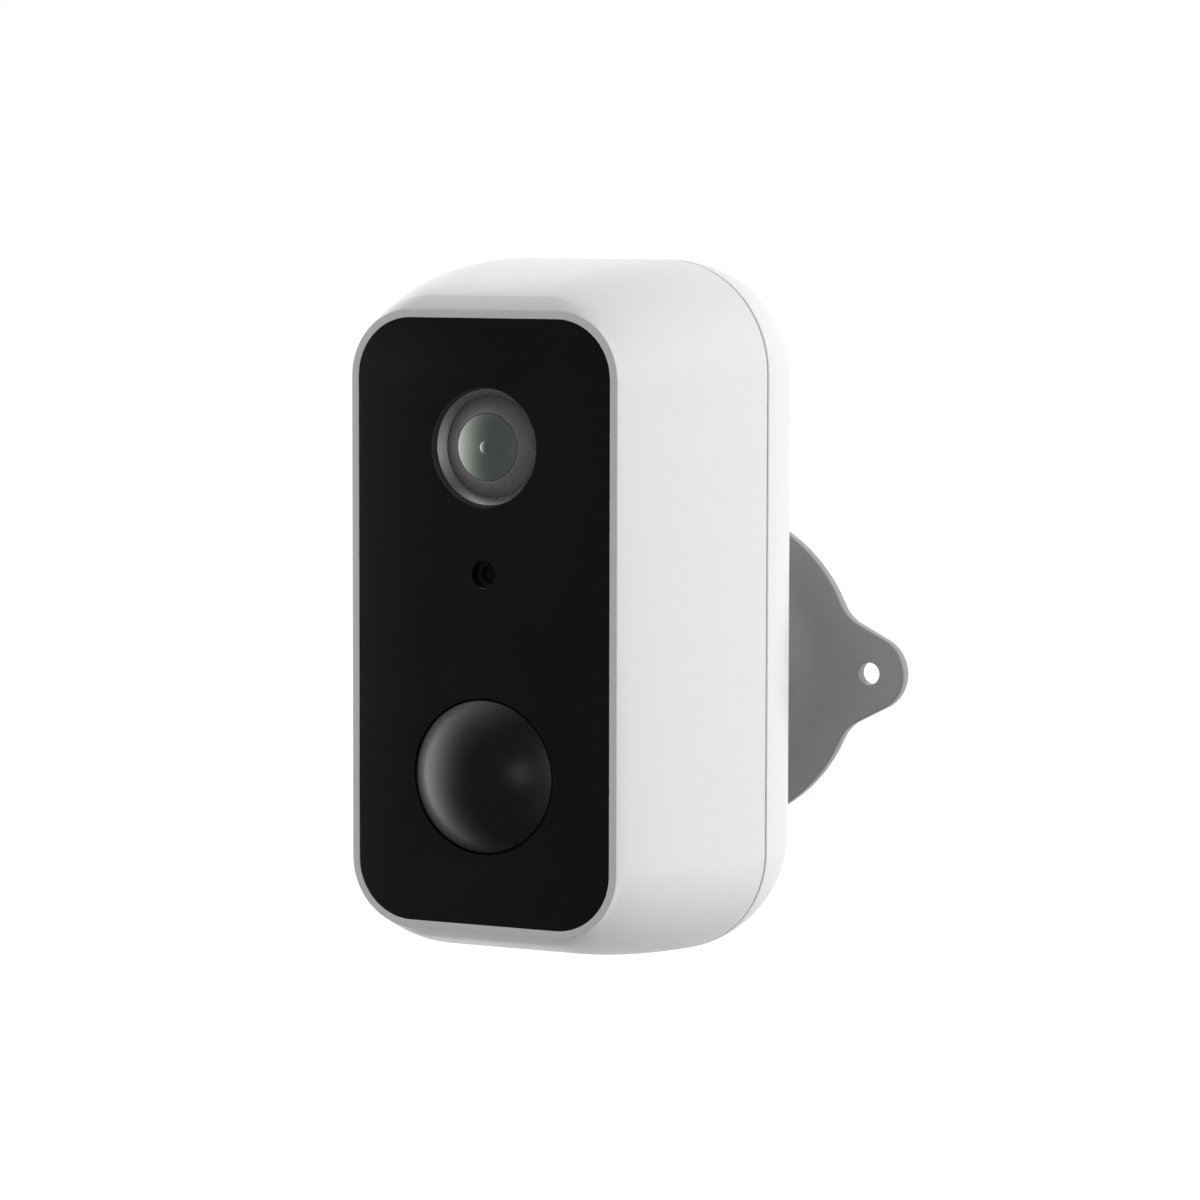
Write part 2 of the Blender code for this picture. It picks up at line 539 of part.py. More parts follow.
def battery():
    """Two cylindrical cells in a tray, joined by nickel strips."""
    tray_near, tray_far, tray_half_width, tray_half_height, tray_wall = 22.5, 34.0, 20.4, 32.0, 1.2
    for name, side in (("battery_cell_1", -1), ("battery_cell_2", 1)):
        x = side * (CELL_RADIUS + 0.2)
        bm = bmesh.new()
        middle = place(x, CELL_DEPTH, 0)
        bmesh.ops.create_cone(bm, cap_ends=True, segments=24, radius1=CELL_RADIUS * MM,
                              radius2=CELL_RADIUS * MM, depth=CELL_LENGTH * MM,
                              matrix=Matrix.Translation(middle))
        make_object(name, bm, "cell_wrap")
    tray = block("battery_tray", (-tray_half_width, tray_half_width), (tray_near, tray_far),
                 (-tray_half_height, tray_half_height), "grey_plastic")
    inside = tray_half_width - tray_wall
    room = block("cell_room", (-inside, inside), (24.6, tray_far + 2),
                 (-tray_half_height - 2, tray_half_height + 2), "grey_plastic")
    cut(tray, [room], "grey_plastic")
    strip = CELL_LENGTH / 2 + GAP
    for name, low, high in (("battery_strip_top", strip, strip + 0.4),
                            ("battery_strip_bottom", -strip - 0.4, -strip)):
        block(name, (-14, 14), (27, 32.5), (low, high), "nickel")


# ---- fasteners, buttons and port cover ------------------------------------
def case_screws():
    """Four screws that hold the rear cover on the front housing."""
    tip, head_near, head_far, shank, head = 23.5, HEAD_SEAT + GAP, HEAD_SEAT + 2.3, THREAD_RADIUS - GAP, 2.6
    profile = [(tip, 0), (tip, shank), (head_near, shank), (head_near, head), (head_far, head), (head_far, 0)]
    for number, (x, up) in enumerate(SCREW_PLACES, start=1):
        turned(f"case_screw_{number}", profile, x, up, "steel", SMALL_ROUND)


def rear_buttons():
    """Power and reset buttons in the rear cover; each presses forwards."""
    for name, (x, up), radius in (("power_button", POWER_PLACE, POWER_RADIUS),
                                  ("reset_button", RESET_PLACE, RESET_RADIUS)):
        flange, flange_far, face = radius + BUTTON_FLANGE, BUTTON_BACK + 1.1, BODY_DEPTH + 0.5
        profile = [(BUTTON_BACK, 0), (BUTTON_BACK, flange), (flange_far, flange), (flange_far, radius),
                   (face - 0.3, radius), (face, radius - 0.4), (face, 0)]
        button = turned(name, profile, x, up, "grey_plastic", ROUND)
        set_pivot(button, place(x, BODY_DEPTH, up))


def port_flap():
    """Rubber cover of the charging port, hinged along its lower edge."""
    low, high = PORT_UP - FLAP_HEIGHT / 2, PORT_UP + FLAP_HEIGHT / 2
    half = FLAP_WIDTH / 2
    flap = block("port_flap", (-half, half), (FLAP_BACK, BODY_DEPTH + FLAP_PROUD), (low, high), "rubber")
    plug = block("plug", (-4.6, 4.6), (FLAP_BACK - 1.2, FLAP_BACK + 0.5),
                 (PORT_UP - 1.5, PORT_UP + 1.3), "rubber")
    join(flap, [plug], "rubber")
    set_pivot(flap, place(0, BODY_DEPTH + FLAP_PROUD, low))


# ---- wall bracket -----------------------------------------------------------------
def wall_point(x, out, up):
    """World position from x, distance out of the wall and height above the mount axis."""
    return Vector((x, -out, up)) * MM


def mount_depth(out):
    """Depth value of a distance out of the wall."""
    return WALL_TO_RIM - out


def plate_outline():
    """Plate outline: a disc with two ears, tangent lines and concave fillets."""
    fillet = PLATE_FILLET
    ear_x = EAR_REACH - EAR_RADIUS
    taper = math.radians(EAR_TAPER)
    quarter = []
    for i in range(6):
        angle = (math.pi / 2 - taper) * i / 5
        quarter.append((ear_x + EAR_RADIUS * math.cos(angle), EAR_RADIUS * math.sin(angle)))
    # The ear's straight flank runs at the taper angle; the fillet touches it and the disc.
    normal = (math.sin(taper), math.cos(taper))
    offset = EAR_RADIUS + fillet
    start = (ear_x + offset * normal[0], offset * normal[1])
    direction = (-math.cos(taper), math.sin(taper))
    reach = PLATE_RADIUS + fillet
    along = start[0] * direction[0] + start[1] * direction[1]
    rest = start[0] ** 2 + start[1] ** 2 - reach ** 2
    travel = -along - math.sqrt(along ** 2 - rest)
    centre = (start[0] + travel * direction[0], start[1] + travel * direction[1])
    flank = math.atan2(-normal[1], -normal[0])
    touch = math.atan2(-centre[1], -centre[0])
    for i in range(7):
        angle = flank + (touch - flank) * i / 6
        quarter.append((centre[0] + fillet * math.cos(angle), centre[1] + fillet * math.sin(angle)))
    disc_start = math.atan2(centre[1], centre[0])
    for i in range(1, 9):
        angle = disc_start + (math.pi / 2 - disc_start) * i / 8
        quarter.append((PLATE_RADIUS * math.cos(angle), PLATE_RADIUS * math.sin(angle)))
    left_top = [(-x, up) for x, up in reversed(quarter[:-1])]
    top = quarter + left_top
    bottom = [(x, -up) for x, up in reversed(top[1:-1])]
    return top + bottom


def wall_plate():
    """Wall plate with two screw ears, a bell-shaped boss and the ball socket."""
    shape = [(x, up + MOUNT_UP) for x, up in plate_outline()]
    faces = [(mount_depth(PLATE_THICKNESS), shape), (mount_depth(0), shape)]
    plate = lofted("wall_plate", faces, "bracket_metal")
    bell = [(mount_depth(1.0), 0), (mount_depth(1.0), BELL_RADIUS)]
    steps, bend = 6, 0.62
    for i in range(steps + 1):
        share = i / steps
        radius = BELL_RADIUS + (NECK_RADIUS - BELL_RADIUS) * share
        curve = (1 - math.cos(math.pi * share ** 1.1 * bend)) / (1 - math.cos(math.pi * bend))
        bell.append((mount_depth(PLATE_THICKNESS - 0.1 + BELL_RISE * curve), radius))
    bell += [(mount_depth(NECK_OUT), NECK_RADIUS), (mount_depth(NECK_OUT), 0)]
    join(plate, [turned("bell", bell, 0, MOUNT_UP, "bracket_metal", 36)], "bracket_metal")
    socket = []
    for i in range(6):
        angle = math.pi / 2 * i / 5
        out = BALL_OUT - SOCKET_RADIUS * math.cos(angle)
        socket.append((mount_depth(out), SOCKET_RADIUS * math.sin(angle)))
    socket += [(mount_depth(BALL_OUT + 3), SOCKET_RADIUS), (mount_depth(BALL_OUT + 3), 0)]
    tools = [turned("socket", socket, 0, MOUNT_UP, "bracket_metal", ROUND)]
    for side in (-1, 1):
        x = side * EAR_HOLE_OUT
        tools.append(disc("ear_hole", mount_depth(3), mount_depth(-1), EAR_HOLE, x, MOUNT_UP,
                          "bracket_metal", 16))
    return cut(plate, tools, "bracket_metal")


def ball_joint():
    """Locking ring, friction cup, ball, stud and thumb nut on the mount axis."""
    centre = BALL_OUT
    seat = BALL_RADIUS + GAP
    profile = []
    for out in (1.6, 2.05, 2.5):
        profile.append((mount_depth(centre + out), math.sqrt(seat ** 2 - out ** 2)))
    ring_far, cap_bore = centre + 3.9, 6.7
    profile += [(mount_depth(ring_far), cap_bore), (mount_depth(ring_far), RING_RADIUS - 1.0),
                (mount_depth(ring_far - 0.9), RING_RADIUS), (mount_depth(RING_NEAR), RING_RADIUS),
                (mount_depth(RING_NEAR), NECK_RADIUS + GAP), (mount_depth(centre + 1.7), NECK_RADIUS + GAP),
                (mount_depth(centre + 1.7), cap_bore - GAP)]
    ring = turned("locking_ring", profile, 0, MOUNT_UP, "bracket_metal", ROUND, open_bore=True)
    grips, grip_out = [], RING_RADIUS + 0.3
    for i in range(GRIP_COUNT):
        angle = 2 * math.pi * i / GRIP_COUNT
        grips.append(disc("grip", mount_depth(16), mount_depth(7), 0.7, grip_out * math.cos(angle),
                          MOUNT_UP + grip_out * math.sin(angle), "bracket_metal", 8))
    cut(ring, grips, "bracket_metal")
    cup, cup_steps = [], 4
    for i in range(cup_steps + 1):
        angle = math.radians(CUP_ANGLE) * i / cup_steps
        cup.append((mount_depth(centre - seat * math.cos(angle)), seat * math.sin(angle)))
    for i in range(cup_steps, -1, -1):
        angle = math.radians(CUP_ANGLE) * i / cup_steps
        cup.append((mount_depth(centre - CUP_RADIUS * math.cos(angle)), CUP_RADIUS * math.sin(angle)))
    cup_obj = turned("friction_cup", cup, 0, MOUNT_UP, "black_satin", 24)
    ball_profile = []
    for i in range(11):
        angle = math.pi * i / 10
        out = centre + BALL_RADIUS * math.cos(angle)
        ball_profile.append((mount_depth(out), BALL_RADIUS * math.sin(angle)))
    ball = turned("pivot_ball", ball_profile, 0, MOUNT_UP, "steel", 24)
    bore = disc("bore", mount_depth(centre + 6), mount_depth(centre - 2), STUD_NECK + GAP,
                0, MOUNT_UP, "steel")
    cut(ball, [bore], "steel")
    stud_start = centre - 2 + GAP
    stud_profile = [(stud_start, 0), (stud_start, STUD_NECK), (centre + 7.4, STUD_NECK),
                    (centre + 7.8, STUD_RADIUS), (centre + STUD_REACH, STUD_RADIUS), (centre + STUD_REACH, 0)]
    stud_profile = [(mount_depth(out), radius) for out, radius in stud_profile]
    stud = turned("stud_screw", stud_profile, 0, MOUNT_UP, "steel", 20)
    nut = tube("thumb_nut", mount_depth(centre + NUT_FAR), mount_depth(centre + NUT_NEAR),
               NUT_RADIUS, NUT_BORE, 0, MOUNT_UP, "brass")
    pivot = wall_point(0, centre, 0)
    for obj in (ring, cup_obj, ball, stud, nut):
        set_pivot(obj, pivot)


def mount_insert():
    """Threaded brass insert in the rear cover that takes the stud."""
    tube("mount_insert", 45.2, 52.8, 4.5, STUD_RADIUS + GAP, 0, MOUNT_UP, "brass", 24)


def build():
    """Clear the scene and build every piece."""
    for obj in list(bpy.data.objects):
        bpy.data.objects.remove(obj, do_unlink=True)
    front_housing()
    rear_cover()
    seal_ring()
    front_panel()
    panel_tape()
    lens_group()
    light_group()
    motion_group()
    electronics()
    battery()
    case_screws()
    rear_buttons()
    port_flap()
    mount_insert()
    wall_plate()
    ball_joint()


build()
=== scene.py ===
"""Looks for the wire-free baby monitor camera: fine surfaces, materials, light and camera.

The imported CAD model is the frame, and its boxes give the places. Lengths below are in
millimetres. "Depth" is the distance behind the rim of the front housing, "up" the height
above the middle of the black panel, and "out" the distance in front of the wall.
"""

import json
import math

import bmesh
import bpy
from mathutils import Matrix, Vector

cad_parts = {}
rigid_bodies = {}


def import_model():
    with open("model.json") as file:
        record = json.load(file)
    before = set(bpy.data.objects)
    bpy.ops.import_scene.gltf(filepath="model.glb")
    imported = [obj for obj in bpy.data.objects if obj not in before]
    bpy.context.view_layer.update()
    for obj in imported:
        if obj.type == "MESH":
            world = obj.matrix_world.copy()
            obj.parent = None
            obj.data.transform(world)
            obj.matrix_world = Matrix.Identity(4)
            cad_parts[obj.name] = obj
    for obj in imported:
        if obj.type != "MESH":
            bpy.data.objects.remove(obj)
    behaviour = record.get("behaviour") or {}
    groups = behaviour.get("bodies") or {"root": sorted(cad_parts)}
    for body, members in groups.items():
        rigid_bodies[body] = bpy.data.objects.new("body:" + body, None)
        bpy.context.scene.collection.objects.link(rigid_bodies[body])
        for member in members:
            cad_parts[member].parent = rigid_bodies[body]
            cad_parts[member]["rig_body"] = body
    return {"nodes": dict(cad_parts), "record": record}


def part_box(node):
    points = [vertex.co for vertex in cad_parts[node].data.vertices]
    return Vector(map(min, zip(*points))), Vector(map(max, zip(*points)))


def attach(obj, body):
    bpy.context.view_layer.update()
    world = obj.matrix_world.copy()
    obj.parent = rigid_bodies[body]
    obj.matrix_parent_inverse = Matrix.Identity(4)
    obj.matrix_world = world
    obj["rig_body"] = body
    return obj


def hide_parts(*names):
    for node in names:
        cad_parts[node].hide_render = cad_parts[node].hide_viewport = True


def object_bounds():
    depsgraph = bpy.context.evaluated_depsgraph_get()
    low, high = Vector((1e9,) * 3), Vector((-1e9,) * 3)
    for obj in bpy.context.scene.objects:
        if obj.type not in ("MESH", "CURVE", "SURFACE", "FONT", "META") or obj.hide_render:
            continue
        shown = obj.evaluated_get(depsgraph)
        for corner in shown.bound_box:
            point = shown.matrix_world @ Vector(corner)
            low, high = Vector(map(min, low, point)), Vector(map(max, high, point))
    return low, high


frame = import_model()
cad_low, cad_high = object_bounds()

MM = 0.001
GAP = 0.3

SLOT_OF = {row["node"]: row["material_slot"] for row in frame["record"]["subparts"]}
BODY_OF = {node: obj["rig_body"] for node, obj in frame["nodes"].items()}


# ---- places read from the frame --------------------------------------------------
def middle(node):
    """Centre of a node's box, in metres."""
    low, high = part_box(node)
    return (low + high) / 2


HOUSING_LOW, HOUSING_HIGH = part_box("front_housing")
COVER_LOW, COVER_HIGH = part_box("rear_cover")
PANEL_LOW, PANEL_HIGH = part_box("front_panel")
PLATE_LOW, PLATE_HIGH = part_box("wall_plate")
RIM_Y = HOUSING_LOW.y
PANEL_Z = middle("front_panel").z


def depth_of(y):
    """Depth in millimetres of a place along Y."""
    return (y - RIM_Y) / MM


def up_of(node):
    """Height in millimetres of a node's middle above the middle of the panel."""
    return (middle(node).z - PANEL_Z) / MM


def spot_of(node):
    """(x, up) in millimetres of a node's middle."""
    return middle(node).x / MM, up_of(node)


WALL_DEPTH = depth_of(PLATE_HIGH.y)
MOUNT_UP = up_of("pivot_ball")
LENS_UP, PIR_UP, MIC_UP = up_of("lens_bezel"), up_of("pir_dome_lens"), up_of("microphone_gasket")
SPEAKER_UP, PORT_UP = up_of("speaker"), up_of("charge_port")

PANEL_HALF_WIDTH = PANEL_HIGH.x / MM
PANEL_HALF_HEIGHT = (PANEL_HIGH.z - PANEL_LOW.z) / MM / 2
PANEL_CORNER = 8.45
PANEL_FACE, PANEL_BACK = depth_of(PANEL_LOW.y), depth_of(PANEL_HIGH.y)
RIM_HALF_WIDTH, RIM_HALF_HEIGHT, RIM_CORNER = PANEL_HALF_WIDTH + 1.05, PANEL_HALF_HEIGHT + 1.0, 9.45

HOUSING_EDGE, COVER_EDGE = depth_of(HOUSING_HIGH.y), depth_of(COVER_LOW.y)
SEAM_DEPTH = (HOUSING_EDGE + COVER_EDGE) / 2
SEAM_HALF_WIDTH, SEAM_TOP, SEAM_BOTTOM = 28.5, 50.9, 49.9
SEAM_CORNER_TOP, SEAM_CORNER_BOTTOM = 16.4, 15.0
FLARE_LENGTH = 37.4
WIDTH_CURVE, TOP_CURVE, BOTTOM_CURVE, CORNER_CURVE = 1.25, 2.05, 1.8, 3.0
BODY_DEPTH = depth_of(COVER_HIGH.y)
BACK_INSET_WIDTH, BACK_INSET_HEIGHT, BACK_INSET_CORNER = 8.15, 5.7, 2.6
BACK_CURVE = 1.75
WALL = 2.0
FLOOR_FRONT, FLOOR_BACK = 3.0, 5.0
BACK_INSIDE = 50.6

LENS_HOLE, PIR_HOLE, MIC_HOLE = 8.45, 11.07, 1.9
GRILLE_COUNT, GRILLE_RING, GRILLE_HOLE = 8, 4.5, 1.0
FLAP_LOW, FLAP_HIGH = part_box("port_flap")
FLAP_HALF_WIDTH = FLAP_HIGH.x / MM
FLAP_HALF_HEIGHT = (FLAP_HIGH.z - FLAP_LOW.z) / MM / 2
FLAP_FACE = depth_of(FLAP_HIGH.y)
FLAP_BACK = 52.0

BALL_OUT = WALL_DEPTH - depth_of(middle("pivot_ball").y)
BALL_RADIUS = 5.0
PLATE_THICKNESS, PLATE_RADIUS, PLATE_FILLET = 2.0, (PLATE_HIGH.z - PLATE_LOW.z) / MM / 2, 6.0
BELL_RADIUS, NECK_RADIUS, NECK_OUT = 20.0, 7.9, 11.9
SOCKET_RADIUS = 6.5
EAR_REACH, EAR_RADIUS, EAR_HOLE_OUT, EAR_HOLE = PLATE_HIGH.x / MM, 5.8, 27.2, 1.7
EAR_TAPER = math.radians(27)

SCREWS = [f"case_screw_{number}" for number in range(1, 5)]
SIDES = 96


# ---- material building blocks ----------------------------------------------------
class Look:
    """A Principled material with helpers that add procedural detail."""

    def __init__(self, name, colour, roughness, metallic=0.0, **constants):
        self.material = bpy.data.materials.new(name)
        self.material.use_nodes = True
        self.tree = self.material.node_tree
        self.shader = self.tree.nodes["Principled BSDF"]
        self.colour = colour
        self.set("Base Color", (*colour, 1.0))
        self.set("Roughness", roughness)
        self.set("Metallic", metallic)
        for socket, value in constants.items():
            self.set(socket.replace("_", " "), value)
        self.height = None
        self.places = self.node("ShaderNodeTexCoord").outputs["Object"]

    def set(self, socket, value):
        self.shader.inputs[socket].default_value = value

    def node(self, kind, **settings):
        node = self.tree.nodes.new(kind)
        for name, value in settings.items():
            setattr(node, name, value)
        return node

    def link(self, source, target):
        self.tree.links.new(source, target)

    def spread(self, size, stretch):
        """Object coordinates in steps of size millimetres, lengthened by stretch."""
        scale = self.node("ShaderNodeVectorMath", operation="MULTIPLY")
        scale.inputs[1].default_value = [1 / (size * MM * part) for part in stretch]
        self.link(self.places, scale.inputs[0])
        return scale.outputs[0]

    def noise(self, size, detail=3.0, stretch=(1, 1, 1)):
        """Noise whose blobs are about size millimetres across; stretch lengthens them."""
        noise = self.node("ShaderNodeTexNoise")
        noise.inputs["Scale"].default_value = 1.0
        noise.inputs["Detail"].default_value = detail
        noise.inputs["Roughness"].default_value = 0.55
        self.link(self.spread(size, stretch), noise.inputs["Vector"])
        return noise.outputs["Fac"]

    def cells(self, size, feature="F1", stretch=(1, 1, 1)):
        """Voronoi cells about size millimetres across."""
        cells = self.node("ShaderNodeTexVoronoi", feature=feature)
        cells.inputs["Scale"].default_value = 1.0
        self.link(self.spread(size, stretch), cells.inputs["Vector"])
        return cells.outputs["Distance"]

    def rings(self, spacing, centre):
        """Fine turned rings, spacing millimetres apart, round an axis along Y at centre."""
        shift = self.node("ShaderNodeVectorMath", operation="SUBTRACT")
        shift.inputs[1].default_value = centre
        self.link(self.places, shift.inputs[0])
        wave = self.node("ShaderNodeTexWave", wave_type="RINGS", rings_direction="Y")
        wave.inputs["Scale"].default_value = 1 / (spacing * MM) / 20 * 2 * math.pi
        wave.inputs["Distortion"].default_value = 0.6
        wave.inputs["Detail"].default_value = 1.0
        self.link(shift.outputs[0], wave.inputs["Vector"])
        return wave.outputs["Fac"]

    def ranged(self, source, low, high, start=0.3, end=0.7):
        """Map the source from start..end to low..high."""
        remap = self.node("ShaderNodeMapRange")
        remap.inputs["From Min"].default_value = start
        remap.inputs["From Max"].default_value = end
        remap.inputs["To Min"].default_value = low
        remap.inputs["To Max"].default_value = high
        self.link(source, remap.inputs["Value"])
        return remap.outputs["Result"]

    def tint(self, source, other, low=0.3, high=0.7):
        """Blend the base colour towards other where the source is high."""
        mix = self.node("ShaderNodeMix", data_type="RGBA")
        self.link(self.ranged(source, 0.0, 1.0, low, high), mix.inputs["Factor"])
        current = self.shader.inputs["Base Color"]
        if current.is_linked:
            self.link(current.links[0].from_socket, mix.inputs["A"])
        else:
            mix.inputs["A"].default_value = (*self.colour, 1.0)
        mix.inputs["B"].default_value = (*other, 1.0)
        self.link(mix.outputs["Result"], current)

    def gloss(self, source, low, high):
        """Let the roughness vary from low to high."""
        self.link(self.ranged(source, low, high), self.shader.inputs["Roughness"])

    def bump(self, source, height):
        """Raise the surface by about height millimetres where the source is high."""
        bump = self.node("ShaderNodeBump")
        bump.inputs["Strength"].default_value = 1.0
        bump.inputs["Distance"].default_value = height * MM
        self.link(source, bump.inputs["Height"])
        if self.height is not None:
            self.link(self.height, bump.inputs["Normal"])
        self.height = bump.outputs["Normal"]
        self.link(self.height, self.shader.inputs["Normal"])


def scaled(colour, share):
    """A lighter or darker version of a colour."""
    return tuple(min(1.0, part * share) for part in colour)


def moulded(name, colour, roughness, grain=0.25, height=0.0012, mottle=0.04, **constants):
    """Injection-moulded plastic: fine spark grain, faint flow marks, uneven gloss."""
    look = Look(name, colour, roughness, **constants)
    look.tint(look.noise(9.0, 4.0), scaled(colour, 1 - mottle))
    look.tint(look.noise(1.3, 2.0), scaled(colour, 1 + mottle), 0.5, 0.8)
    look.gloss(look.noise(2.4, 4.0), roughness * 0.88, roughness * 1.14)
    look.bump(look.noise(grain, 2.0), height)
    look.bump(look.noise(6.0, 1.0), height * 2)
    return look.material


def polished(name, colour, roughness, **constants):
    """Polished plastic: soft smears in the gloss and hair-fine vertical wipe marks."""
    look = Look(name, colour, roughness, **constants)
    look.tint(look.noise(14.0, 3.0, stretch=(1, 1, 3)), scaled(colour, 1.5))
    look.gloss(look.noise(5.0, 5.0, stretch=(1, 1, 5)), roughness * 0.7, roughness * 1.5)
    look.bump(look.noise(22.0, 1.0), 0.002)
    return look.material


def machined(name, colour, roughness, centre, **constants):
    """Turned metal: fine tool rings, a little stain, uneven polish."""
    look = Look(name, colour, roughness, 1.0, **constants)
    look.tint(look.noise(1.6, 4.0), scaled(colour, 0.82))
    look.gloss(look.noise(0.5, 4.0), roughness * 0.75, roughness * 1.3)
    look.bump(look.rings(0.16, centre), 0.0016)
    look.bump(look.noise(0.12, 2.0), 0.0006)
    return look.material


def circuit_board():
    """Solder mask over copper tracks, with pale printed specks."""
    green, copper, mark = (0.015, 0.13, 0.05), (0.03, 0.24, 0.09), (0.72, 0.72, 0.66)
    look = Look("circuit_board", green, 0.35)
    look.tint(look.cells(2.4, "DISTANCE_TO_EDGE", stretch=(1, 1, 0.6)), copper, 0.05, 0.09)
    look.tint(look.cells(5.2), mark, 0.04, 0.03)
    look.gloss(look.noise(3.0, 3.0), 0.28, 0.45)
    look.bump(look.cells(2.4, "DISTANCE_TO_EDGE", stretch=(1, 1, 0.6)), 0.03)
    return look.material


def battery_wrap():
    """Shrink sleeve: glossy film with fine stretch lines along the cell."""
    blue = (0.03, 0.12, 0.38)
    look = Look("cell_wrap", blue, 0.3, Coat_Weight=0.4, Coat_Roughness=0.1)
    look.tint(look.noise(2.0, 4.0, stretch=(1, 1, 12)), scaled(blue, 0.6))
    look.gloss(look.noise(1.0, 3.0, stretch=(1, 1, 8)), 0.22, 0.4)
    look.bump(look.noise(0.8, 3.0, stretch=(1, 1, 10)), 0.006)
    return look.material


def flex_film():
    """Amber polyimide film with darker tracks along it."""
    amber = (0.42, 0.19, 0.04)
    look = Look("flex_film", amber, 0.3)
    look.tint(look.noise(0.5, 0.0, stretch=(1, 1, 30)), scaled(amber, 0.55), 0.5, 0.55)
    look.gloss(look.noise(2.0), 0.22, 0.4)
    look.bump(look.noise(0.5, 0.0, stretch=(1, 1, 30)), 0.01)
    return look.material


def foam():
    """Closed-cell foam tape."""
    dark = (0.03, 0.03, 0.03)
    look = Look("foam_tape", dark, 0.9)
    look.tint(look.cells(0.35), scaled(dark, 2.2), 0.2, 0.7)
    look.gloss(look.noise(1.0), 0.8, 0.95)
    look.bump(look.cells(0.35), 0.05)
    return look.material


def chip():
    """Epoxy package: matt black with moulding grain and pale dust."""
    dark = (0.03, 0.03, 0.035)
    look = Look("chip", dark, 0.45)
    look.tint(look.noise(0.3, 4.0), scaled(dark, 1.8))
    look.gloss(look.noise(0.8, 4.0), 0.38, 0.55)
    look.bump(look.noise(0.12, 3.0), 0.004)
    return look.material


def led_body():
    """Pale clear epoxy with a warm core."""
    pale = (0.72, 0.72, 0.62)
    look = Look("led_body", pale, 0.15, Transmission_Weight=0.5, IOR=1.5)
    look.tint(look.noise(0.8, 2.0), (0.8, 0.66, 0.4))
    look.gloss(look.noise(0.5), 0.1, 0.22)
    look.bump(look.noise(0.6, 1.0), 0.002)
    return look.material


def coated_glass():
    """Lens glass with an anti-reflection coat that shows as a green-grey sheen."""
    sheen = (0.54, 0.60, 0.54)
    look = Look("coated_glass", sheen, 0.1, 1.0)
    look.tint(look.noise(4.0, 2.0), scaled(sheen, 0.93))
    look.gloss(look.noise(1.5, 3.0), 0.09, 0.12)
    look.bump(look.noise(3.0, 0.0), 0.0008)
    return look.material


def clear_glass():
    """Clear glass of the inner elements, with a faint cool tint."""
    cool = (0.80, 0.88, 0.83)
    look = Look("clear_glass", cool, 0.03, Transmission_Weight=1.0, IOR=1.52)
    look.tint(look.noise(3.0, 2.0), scaled(cool, 0.94))
    look.gloss(look.noise(1.0, 2.0), 0.02, 0.05)
    return look.material


def dome_plastic():
    """Black dome of the motion sensor: satin gloss with a barely raised lens grid."""
    dark = (0.007, 0.007, 0.0072)
    look = Look("dome_plastic", dark, 0.24)
    look.tint(look.noise(3.0, 3.0), scaled(dark, 1.5))
    look.gloss(look.noise(1.2, 3.0), 0.22, 0.27)
    look.bump(look.cells(1.6, "SMOOTH_F1"), 0.0015)
    return look.material


def bezel_finish():
    """Grey-green satin ring round the lens, with a faintly uneven face."""
    grey = (0.48, 0.51, 0.48)
    look = Look("bezel_finish", grey, 0.26, 0.95)
    look.tint(look.noise(1.8, 3.0), scaled(grey, 1.06))
    look.gloss(look.noise(0.8, 3.0), 0.24, 0.3)
    look.bump(look.noise(2.5, 1.0), 0.001)
    return look.material


def barrel_finish():
    """Dark satin face of the lens barrel with fine concentric ribs."""
    dark = (0.23, 0.23, 0.225)
    look = Look("barrel_finish", dark, 0.42)
    look.tint(look.noise(0.7, 3.0), scaled(dark, 1.25))
    look.gloss(look.noise(1.0, 3.0), 0.36, 0.48)
    look.bump(look.rings(0.3, middle("lens_barrel")), 0.002)
    return look.material


MOUNT_CENTRE = middle("pivot_ball")
WHITE = (0.82, 0.82, 0.815)
FINISHES = {
    "white_shell": moulded("white_shell", WHITE, 0.36, mottle=0.012),
    # Bracket finish: satin grey whose dark tone is partly painted shade, set to match the plate front that
    # lies in the camera body's shade.
    "bracket_metal": moulded("bracket_metal", (0.33, 0.343, 0.33), 0.32, mottle=0.03, Metallic=0.15),
    "black_gloss": polished("black_gloss", (0.0045, 0.0045, 0.0045), 0.09),
    "black_satin": moulded("black_satin", (0.02, 0.02, 0.02), 0.4, mottle=0.2),
    "black_dome": dome_plastic(),
    "bezel": bezel_finish(),
    "bezel_wall": moulded("bezel_wall", (0.05, 0.05, 0.05), 0.5, height=0.0004, mottle=0.08),
    "barrel": barrel_finish(),
    "coated_glass": coated_glass(),
    "glass": clear_glass(),
    "rubber": moulded("rubber", (0.045, 0.045, 0.045), 0.6, grain=0.4, height=0.004, mottle=0.2),
    "flap_rubber": moulded("flap_rubber", (0.62, 0.62, 0.61), 0.58, grain=0.35, height=0.003),
    "foam_tape": foam(),
    "circuit_board": circuit_board(),
    "chip": chip(),
    "led_body": led_body(),
    "steel": machined("steel", (0.60, 0.60, 0.60), 0.25, MOUNT_CENTRE),
    "brass": machined("brass", (0.72, 0.55, 0.27), 0.28, MOUNT_CENTRE),
    "cell_wrap": battery_wrap(),
    "nickel": machined("nickel", (0.68, 0.66, 0.62), 0.35, MOUNT_CENTRE),
    "grey_plastic": moulded("grey_plastic", (0.26, 0.27, 0.27), 0.45, mottle=0.06),
    "flex_film": flex_film(),
}


# ---- shape building blocks -------------------------------------------------------
def place(x, depth, up):
    """Point in metres from x, depth and up in millimetres."""
    return Vector((x * MM, RIM_Y + depth * MM, PANEL_Z + up * MM))


def shape_object(name, bm):
    """Turn a bmesh into an object whose faces point out."""
    bmesh.ops.recalc_face_normals(bm, faces=bm.faces)
    mesh = bpy.data.meshes.new(name)
    bm.to_mesh(mesh)
    bm.free()
    obj = bpy.data.objects.new(name, mesh)
    bpy.context.scene.collection.objects.link(obj)
    return obj


